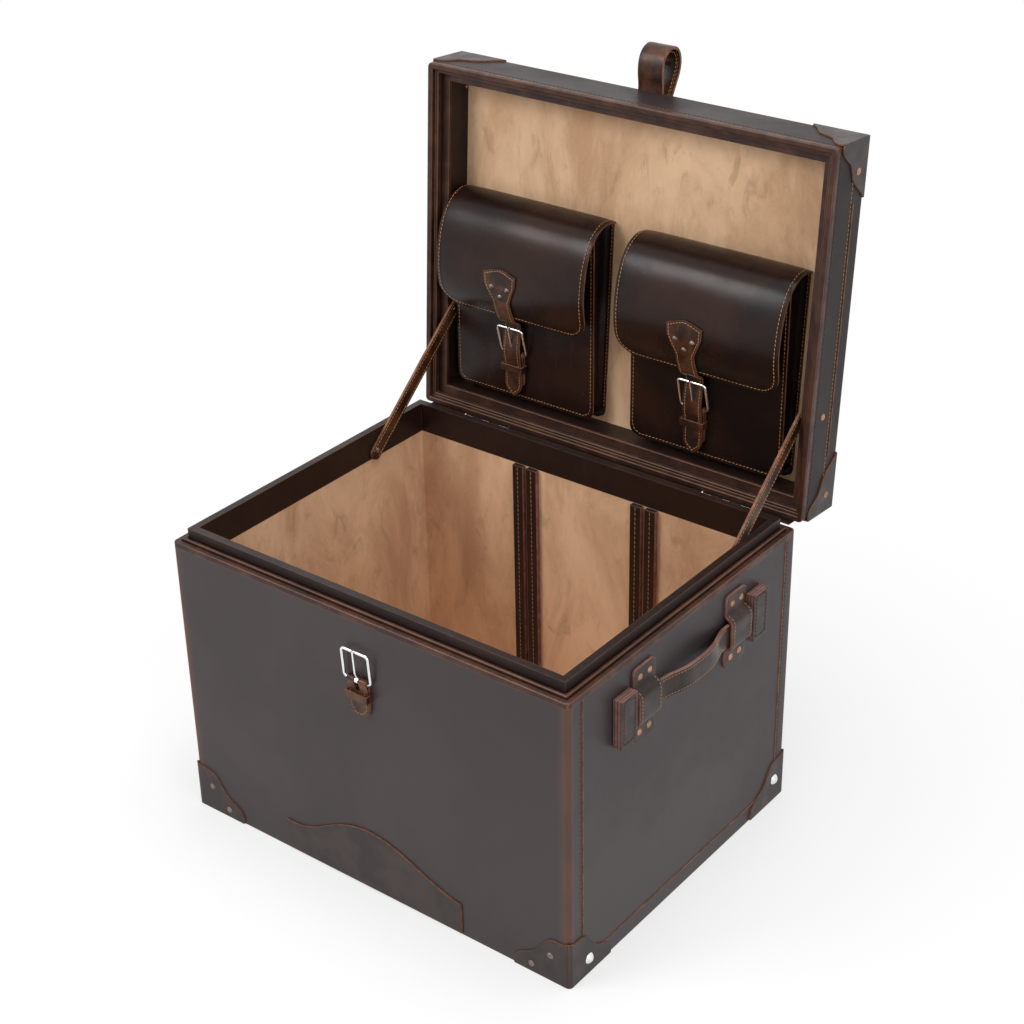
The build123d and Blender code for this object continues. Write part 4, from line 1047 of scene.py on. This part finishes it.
def flap_point(x, far, out=0.0):
    """A point of a flap at a distance along its side view, and its outward direction, lid closed."""
    at, facing = on_line(flap_line, flap_length, far, out)
    return Vector((x, at[0], at[1])), Vector((0, facing[0], facing[1]))


def flap_rows(v):
    """Rows are spread evenly down the flap and closer together round the corners."""
    straight_share = 0.72
    if v < straight_share:
        return v / straight_share * (flap_length - flap_corner)
    angle = (v - straight_share) / (1 - straight_share) * math.pi / 2
    return flap_length - flap_corner + flap_corner * math.sin(angle)


def make_flap(side, centre):
    """A pocket flap with thread along its three free sides."""
    def place(u, v):
        far = flap_rows(v)
        x = (2 * u - 1) * cut_corner(flap_half, flap_corner, flap_length - far)
        curl = 0.0012 * abs(x / flap_half) ** 8
        ripple = 0.00035 * math.sin(x * 60 + 2.0) * math.sin(far * 35)
        return flap_point(centre + x, far, -curl + ripple)[0]

    flap = lid_sheet("pocket_flap_leather_" + side, 56, 72, place, flap_leather, 0.0006)
    keep(flap, "flap_" + side, "pocket_leather", "pocket_flap_" + side)
    inset = 0.0038
    outline = [(-(flap_half - inset), 0.006), (-(flap_half - inset), flap_length - flap_corner)]
    for k in range(1, 13):
        angle = math.pi / 2 * k / 12
        outline.append((-(flap_half - flap_corner) - (flap_corner - inset) * math.cos(angle),
                        flap_length - flap_corner + (flap_corner - inset) * math.sin(angle)))
    outline += [(-x, far) for x, far in reversed(outline)]
    line = [flap_point(centre + p.x, p.y, flap_leather + above)
            for p in dense([(x, far, 0) for x, far in outline])]
    sew("pocket_flap_thread_" + side, [lid_line(line)], "flap_" + side, slot="pocket_leather")


for side, centre in pocket_centres.items():
    make_flap(side, centre)
print("flap length", round(flap_length, 4))

# %% [markdown]
# ## Pocket bags
# The bag is three pieces sewn together: a back, a gusset folded inwards round three sides, and a front
# that hangs a little loose. The raised seam where front and gusset meet is what catches the light.

# %% Bag
bag_top_depth = 0.034
bag_bottom_depth = 0.020
bag_front_top = pocket_top + 0.008
bag_leather = 0.0022
bag_corner = 0.012


def bag_depth(y):
    """How far a bag's front stands out from the panel."""
    share = (y - pocket_top) / (pocket_bottom - pocket_top)
    return bag_top_depth - share * (bag_top_depth - bag_bottom_depth)


def bag_front(side, centre):
    """The front of a bag, slack between the strap and the side seams."""
    def place(u, v):
        y = bag_front_top + v * (pocket_bottom - bag_front_top)
        x = centre + (2 * u - 1) * cut_corner(pocket_half, bag_corner, pocket_bottom - y)
        away = min(max((abs(x - centre - strap_shift) - 0.015) / 0.025, 0.0), 1.0)
        rim = math.sin(math.pi * u) ** 0.5 * math.sin(math.pi * min(v * 0.9 + 0.1, 1.0)) ** 0.5
        sag = 0.0022 * away * rim * (0.7 + 0.3 * math.sin(9.0 * v + 3.0 * u))
        return Vector((x, y, panel_face - bag_depth(y) + bag_leather + sag))

    return lid_sheet("pocket_front_leather_" + side, 60, 66, place, bag_leather, 0.0005)


def bag_gusset(side, centre):
    """The gusset: a strip folded inwards that runs down one side, along the bottom and up the other."""
    corner = bag_corner
    half = pocket_half - 0.0015
    low = pocket_bottom - 0.0015
    from_panel = 0.0022
    track = [(-half, pocket_top + 0.002), (-half, 0.0), (-half, 0.08), (-half, low - corner)]
    for k in range(1, 8):
        angle = math.pi / 2 * k / 8
        track.append((-half + corner - corner * math.cos(angle), low - corner + corner * math.sin(angle)))
    track += [(-half + corner, low), (0.0, low)]
    track += [(-x, y) for x, y in reversed(track[:-1])]
    line, length = evenly(np.array(track), 150)

    def place(u, v):
        i = v * (len(line) - 1)
        at = [np.interp(i, range(len(line)), line[:, k]) for k in range(2)]
        a, b = line[max(int(i) - 1, 0)], line[min(int(i) + 2, len(line) - 1)]
        run = (b - a) / np.linalg.norm(b - a)
        depth = bag_depth(at[1]) - bag_leather - 0.0004
        pinch = 0.0 if u in (0.0, 1.0) else 0.30 * depth * math.sin(math.pi * u) ** 0.8
        return Vector((centre + at[0] + run[1] * pinch, at[1] - run[0] * pinch,
                       panel_face - from_panel - u * (depth - from_panel)))

    return lid_sheet("pocket_gusset_leather_" + side, 14, 150, place, 0.0015, 0.0003, 1.0)


def bag_back(side, centre):
    """The back of a bag, sewn to the panel, a little wider than the gusset."""
    bottom = pocket_bottom + 0.002

    def place(u, v):
        y = pocket_top - 0.002 + v * (bottom - pocket_top + 0.002)
        width = cut_corner(pocket_half + 0.003, 0.010, bottom - y)
        return Vector((centre + (2 * u - 1) * width, y, panel_face))

    return lid_sheet("pocket_back_leather_" + side, 20, 60, place, 0.0018, 0.0004)


seam_inset = 0.0036
far_off = 0.2
for side, centre in pocket_centres.items():
    front = bag_front(side, centre)
    keep(front, "lid", "pocket_leather", "pocket_bag_" + side)
    keep(bag_gusset(side, centre), "lid", "pocket_leather")
    keep(bag_back(side, centre), "lid", "pocket_leather")
    x = pocket_half - seam_inset
    bottom = pocket_bottom - seam_inset
    half_seam = [(-x, bag_front_top + 0.002), (-x, bottom - 0.010), (-x + 0.003, bottom - 0.003),
                 (-x + 0.010, bottom)]
    corners = [(x, y, 0) for x, y in half_seam] + [(-x, y, 0) for x, y in reversed(half_seam)]
    outline = [(centre + p.x, p.y, far_off) for p in dense(corners)]
    rows = [drape(outline, search_tree(front, lid_back), (0, 0, 1))]
    face = panel_face - 0.0019
    for way in (-1, 1):
        at = centre + way * (pocket_half + 0.0012)
        rows.append(straight((at, pocket_top, face), (at, pocket_bottom - 0.012, face), (0, 0, -1)))
    sew("pocket_seam_thread_" + side, [lid_line(row) for row in rows], "lid", slot="pocket_leather")
print("bags done")

# %% [markdown]
# ## Pocket straps
# The shield and strap, the folded tab and the keeper are softened copies. Thread follows the strap's outline
# and is dropped onto the leather along the lid's depth, so that it lies on the surface wherever that bends.

# %% Punched holes
def punched(name, rows, body, radius=0.0016):
    """Small dishes coloured with painted shade for the depth of a hole, one at each place of some rows of
    points and normals.
    """
    deselect()
    bpy.ops.mesh.primitive_cylinder_add(vertices=20, radius=radius, depth=0.0004)
    model = bpy.context.object
    for polygon in model.data.polygons:
        polygon.select = polygon.normal.z > 0.9
    bpy.ops.object.mode_set(mode="EDIT")
    bpy.ops.mesh.select_mode(type="FACE")
    bpy.ops.mesh.inset(thickness=0.0004)
    bpy.ops.transform.translate(value=(0, 0, -0.0003))
    bpy.ops.object.mode_set(mode="OBJECT")
    marks = []
    for point, facing in [place for row in rows for place in row]:
        mark = model.copy()
        mark.data = model.data.copy()
        bpy.context.scene.collection.objects.link(mark)
        mark.data.transform(Matrix.Translation(point) @ facing.to_track_quat("Z", "Y").to_matrix().to_4x4())
        marks.append(mark)
    bpy.data.objects.remove(model)
    holes = joined(marks, name)
    holes.data.materials.append(looks["hole"])
    keep(holes, body, "trim_leather")


# %% Pocket straps, tabs and keepers
shield_top = 0.008
shield_length = 0.039
shield_half = 0.021
strap_half = 0.011
strap_tip = 0.166
thread_inset = 0.0024
strap_outline = [(0.0, 0.0), (0.45, 0.0021), (1.0, 0.006), (0.97, 0.0177)]
strap_holes = (0.060, 0.074, 0.133, 0.147, 0.158)
strap_side = strap_half - thread_inset
for side, centre in pocket_centres.items():
    strap_x = centre + strap_shift
    strap = soft_piece("flap_strap_" + side, "flap_strap_leather_" + side, "flap_" + side, "trim_leather",
                       "strap", side_along(0))
    strap_tree = search_tree(strap, lid_back)
    right = [(share * (shield_half - thread_inset), shield_top + down + thread_inset * 0.9)
             for share, down in strap_outline]
    right += [(strap_side, shield_top + shield_length), (strap_side, strap_tip - 0.0135),
              (0.8 * strap_side, strap_tip - 0.009), (0.0, strap_tip - 0.0035)]
    round_trip = right + [(-x, y) for x, y in reversed(right[:-1])]
    outline = [(strap_x + p.x, p.y, far_off) for p in dense([(x, y, 0) for x, y in round_trip], 0.0015)]
    sew("flap_strap_thread_" + side, [lid_line(drape(outline, strap_tree, (0, 0, 1)))], "flap_" + side,
        pitch=0.0036, radius=0.00045)
    holes = drape([(strap_x, y, far_off) for y in strap_holes], strap_tree, (0, 0, 1))
    punched("strap_holes_" + side, [lid_line(holes)], "flap_" + side)

soft_piece("pocket_tabs", "pocket_tab_leather", "lid", "trim_leather", "strap", side_along(0))
soft_piece("pocket_keepers", "pocket_keeper_leather", "lid", "trim_leather", "strap",
           lambda centre, normal: abs((lid_back.to_3x3() @ normal).y) > 0.6)
print("pocket straps done")

# %% [markdown]
# ## Closing strap
# The strap lies on the lid, stands up past its front edge, opens into a drop-shaped loop and falls back on
# itself to a pointed end. Its side view is drawn with the lid closed.

# %% Closing strap
closing_view = [(-0.144, 0.3890), (-0.160, 0.3890), (-0.180, 0.3890), (-0.194, 0.3890), (-0.204, 0.3886),
                (-0.214, 0.3868), (-0.226, 0.3870), (-0.2352, 0.3915), (-0.2398, 0.4010), (-0.2370, 0.4105),
                (-0.2275, 0.4158), (-0.215, 0.4148), (-0.201, 0.4085), (-0.187, 0.4022), (-0.172, 0.3992),
                (-0.155, 0.3986), (-0.124, 0.3986)]
closing_line, closing_length = evenly(smooth_line(closing_view), 160)
closing_leather = 0.003
closing_half = 0.015
closing_tip = 0.016
closing_free = 0.051


def closing_point(x, far, out=0.0):
    """A point of the closing strap and its direction away from the first side, lid closed."""
    at, facing = on_line(closing_line, closing_length, far, out)
    return Vector((x, at[0], at[1])), Vector((0, facing[0], facing[1]))


def closing_width(far):
    """Half the strap's width at a distance along it: full, then down to a blunt point."""
    left = closing_length - far
    return closing_half * min(1.0, 0.08 + 0.92 * left / closing_tip)


def place_closing(u, v):
    """A corner of the strap's sheet."""
    far = v * closing_length
    return closing_point((2 * u - 1) * closing_width(far), far)[0]


def closing_mark(x, far, out):
    """A place just off either side of the strap, and the direction that side looks in."""
    point, facing = closing_point(x, far, out)
    return point, facing if out > 0 else -facing


closing = lid_sheet("closing_strap_leather", 8, 150, place_closing, closing_leather, 0.0007, 1.0, "strap")
keep(closing, "lid", "trim_leather", "closing_strap")
rows = []
for side in (-1, 1):
    for out, start in ((-above, closing_free), (closing_leather + above, 0.004)):
        fars = np.linspace(start, closing_length - 0.004, 110)
        row = [closing_mark(side * max(closing_width(far) - 0.0028, 0.0004), far, out) for far in fars]
        rows.append(lid_line(row))
sew("closing_strap_thread", rows, "lid", "tan_thread", 0.0042, 0.00036)
marks = [closing_mark(0.0, closing_length - from_tip, out) for from_tip in (0.022, 0.044, 0.066, 0.100)
         for out in (-above, closing_leather + above)]
punched("closing_strap_holes", [lid_line(marks)], "lid", 0.002)
print("closing strap length", round(closing_length, 3))

# %% [markdown]
# ## Stays
# A stay is a flat strap with round ends, riveted inside the trunk and inside the lid. It folds when the
# lid closes, so its sheet has many rows along its length.

# %% Stays
stay_start = Vector((0, 0.0970, 0.3180))
stay_end = Vector((0, 0.2383, 0.4390))
stay_way = (stay_end - stay_start).normalized()
stay_across = Vector((0, -stay_way.z, stay_way.y))
stay_past = 0.012
stay_half = 0.008
stay_inner = 0.2268
stay_leather = 0.003
stay_length = (stay_end - stay_start).length + 2 * stay_past


def stay_point(x, across, far):
    """A point of a stay at a distance along it."""
    return stay_start + stay_way * (far - stay_past) + stay_across * across + Vector((x, 0, 0))


def bend_with_lid(piece):
    """Bake a piece's transform into its mesh."""
    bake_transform(piece)


def make_stay(side, side_name):
    """One stay, and the lines of thread along both edges on both faces."""
    def place(u, v):
        far = v * stay_length
        half = cut_corner(stay_half, stay_half, min(far, stay_length - far))
        return stay_point(side * stay_inner, (2 * u - 1) * max(half, 0.0006), far)

    sheet = sheet_mesh("stay_leather_" + side_name, 6, 126, place)
    stay = thicken(sheet, stay_leather, "strap", "cut_edge", 0.0006, -side)
    bend_with_lid(stay)
    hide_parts("stay_" + side_name)
    rows = []
    for x, facing in ((stay_inner - above, -side), (stay_inner + stay_leather + above, side)):
        for across in (-stay_half + 0.0024, stay_half - 0.0024):
            fars = np.linspace(0.006, stay_length - 0.006, 90)
            rows.append([(stay_point(side * x, across, far), Vector((facing, 0, 0))) for far in fars])
    return rows


stay_rows = make_stay(-1, "left") + make_stay(1, "right")
bend_with_lid(sew("stay_thread", stay_rows, None, "tan_thread", 0.004, 0.00045))
print("stay length", round(stay_length, 4))

# %% [markdown]
# ## Seams of the trunk and lid
# The side leathers meet the wraps at a raised, waxed edge, with a row of dark thread beside it.

# %% Raised seam edges
def seam_edge(name, low, high, body, look="cut_edge"):
    """A thin rounded edge of leather between two corners of a box; one on the lid is laid out closed."""
    deselect()
    bpy.ops.mesh.primitive_cube_add(size=1.0)
    strip = bpy.context.object
    strip.name = name
    low, high = Vector(low), Vector(high)
    size = high - low
    for v in strip.data.vertices:
        v.co = (low + high) / 2 + Vector([a * b for a, b in zip(v.co, size)])
    edit_whole(strip, (bpy.ops.mesh.subdivide, {"number_cuts": 1}))
    apply_modifier(strip, "BEVEL", width=min(min(size) * 0.42, 0.0006), segments=3, limit_method="ANGLE",
                   angle_limit=math.radians(50))
    set_looks(strip, look)
    smooth(strip)
    if body == "lid":
        open_with_lid(strip)
    keep(strip, body, "outer_leather")


front_seam = -half_depth + 0.022
rear_seam = half_depth - 0.020
strip_top = 0.020
wall_top = 0.324
cap_above = 0.030
proud = 0.0008
lid_rim = 0.3303
lid_seam_height = 0.371
lid_seam_end = half_depth - 0.062
rim_thread_height = lid_rim + 0.0095
lid_thread_end = 0.008
dark_rows = []
lid_rows = []
light_rows = []
for side, side_name in ((-1, "left"), (1, "right")):
    x = side * half_width
    out = side * (half_width + proud)
    x_in, x_out = sorted((side * (half_width - 0.001), out))
    for name, low, high in (
            ("front_seam_", (front_seam - 0.0012, cap_above), (front_seam, wall_top)),
            ("rear_seam_", (rear_seam, cap_above), (rear_seam + 0.0014, wall_top)),
            ("bottom_seam_", (front_seam + 0.030, strip_top - 0.0014), (rear_seam - 0.030, strip_top))):
        seam_edge(name + side_name, (x_in, *low), (x_out, *high), "trunk")
    for y in (front_seam - 0.0030, rear_seam + 0.0046):
        dark_rows.append(straight((x, y, 0.055), (x, y, wall_top - 0.002), (side, 0, 0)))
    x_in, x_out = sorted((x, out))
    seam_edge("lid_side_seam_" + side_name, (x_in - 0.0004, -lid_seam_end, lid_seam_height),
              (x_out, lid_seam_end, lid_seam_height + 0.0014), "lid")
    y = half_depth - lid_thread_end
    for z, kind in ((rim_thread_height, lid_rows), (lid_seam_height - 0.0035, light_rows)):
        kind.append(straight((x, -y, z), (x, y, z), (side, 0, 0)))
x = half_width - lid_thread_end
lid_rows.append(straight((-x, -half_depth, rim_thread_height), (x, -half_depth, rim_thread_height),
                         (0, -1, 0)))
for name, rows, body, look, pitch, radius in (
        ("trunk_seam_thread", dark_rows, "trunk", "dark_thread", 0.0052, 0.0006),
        ("lid_rim_thread", [lid_line(row) for row in lid_rows], "lid", "dark_thread", 0.0052, 0.0006),
        ("lid_side_thread", [lid_line(row) for row in light_rows], "lid", "tan_thread", 0.0046, 0.0004)):
    sew(name, rows, body, look, pitch, radius, "outer_leather")
print("seams done")

# %% [markdown]
# A leather skirt on the lid's back wall hides the joint beside the hinges. It is laid out with the lid
# closed, a few millimetres long, so that it clears the back wall when the lid swings.

# %% Skirt over the joint
skirt_spans = ((-0.240, -0.1915), (-0.1285, 0.1285), (0.1915, 0.240))
for number, (x_low, x_high) in enumerate(skirt_spans):
    seam_edge(f"joint_skirt_{number}", (x_low, half_depth + 0.0002, base_height - 0.0075),
              (x_high, half_depth + 0.0017, base_height + 0.0040), "lid", "collar")
print("skirt pieces", len(skirt_spans))

# %% [markdown]
# ## Thread on the rails and the front tab
# Each line of thread lies on its leather: a rail's face is flat, and the tab's thread is dropped onto it.

# %% Rail and tab thread
rail_pairs = (-0.079, 0.079)
rail_pitch = 0.0185
rail_low, rail_top = 0.020, 0.308
rail_face = half_depth - 0.020 - 0.006
rail_rows = [straight((pair + step * rail_pitch, side * rail_face, rail_low),
                      (pair + step * rail_pitch, side * rail_face, rail_top), (0, -side, 0))
             for pair in rail_pairs for step in (-0.5, 0.5) for side in (-1, 1)]
sew("rail_thread", rail_rows, "trunk", "tan_thread", 0.0058, slot="rails")

in_front = -0.3
half_tab = [(-0.0094, 0.252), (-0.0094, 0.228), (-0.004, 0.2215)]
tab_corners = [(x, in_front, z) for x, z in half_tab] + [(-x, in_front, z) for x, z in reversed(half_tab)]
tab_line = drape(dense(tab_corners, 0.0015), search_tree(tab), (0, 1, 0))
sew("front_tab_thread", [tab_line], "trunk", "tan_thread", 0.0036, 0.00034)
print("thread done")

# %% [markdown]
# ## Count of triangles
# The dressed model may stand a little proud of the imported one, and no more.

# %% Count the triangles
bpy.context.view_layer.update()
triangles = sum(sum(len(p.vertices) - 2 for p in o.data.polygons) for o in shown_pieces())
print("triangles", triangles)
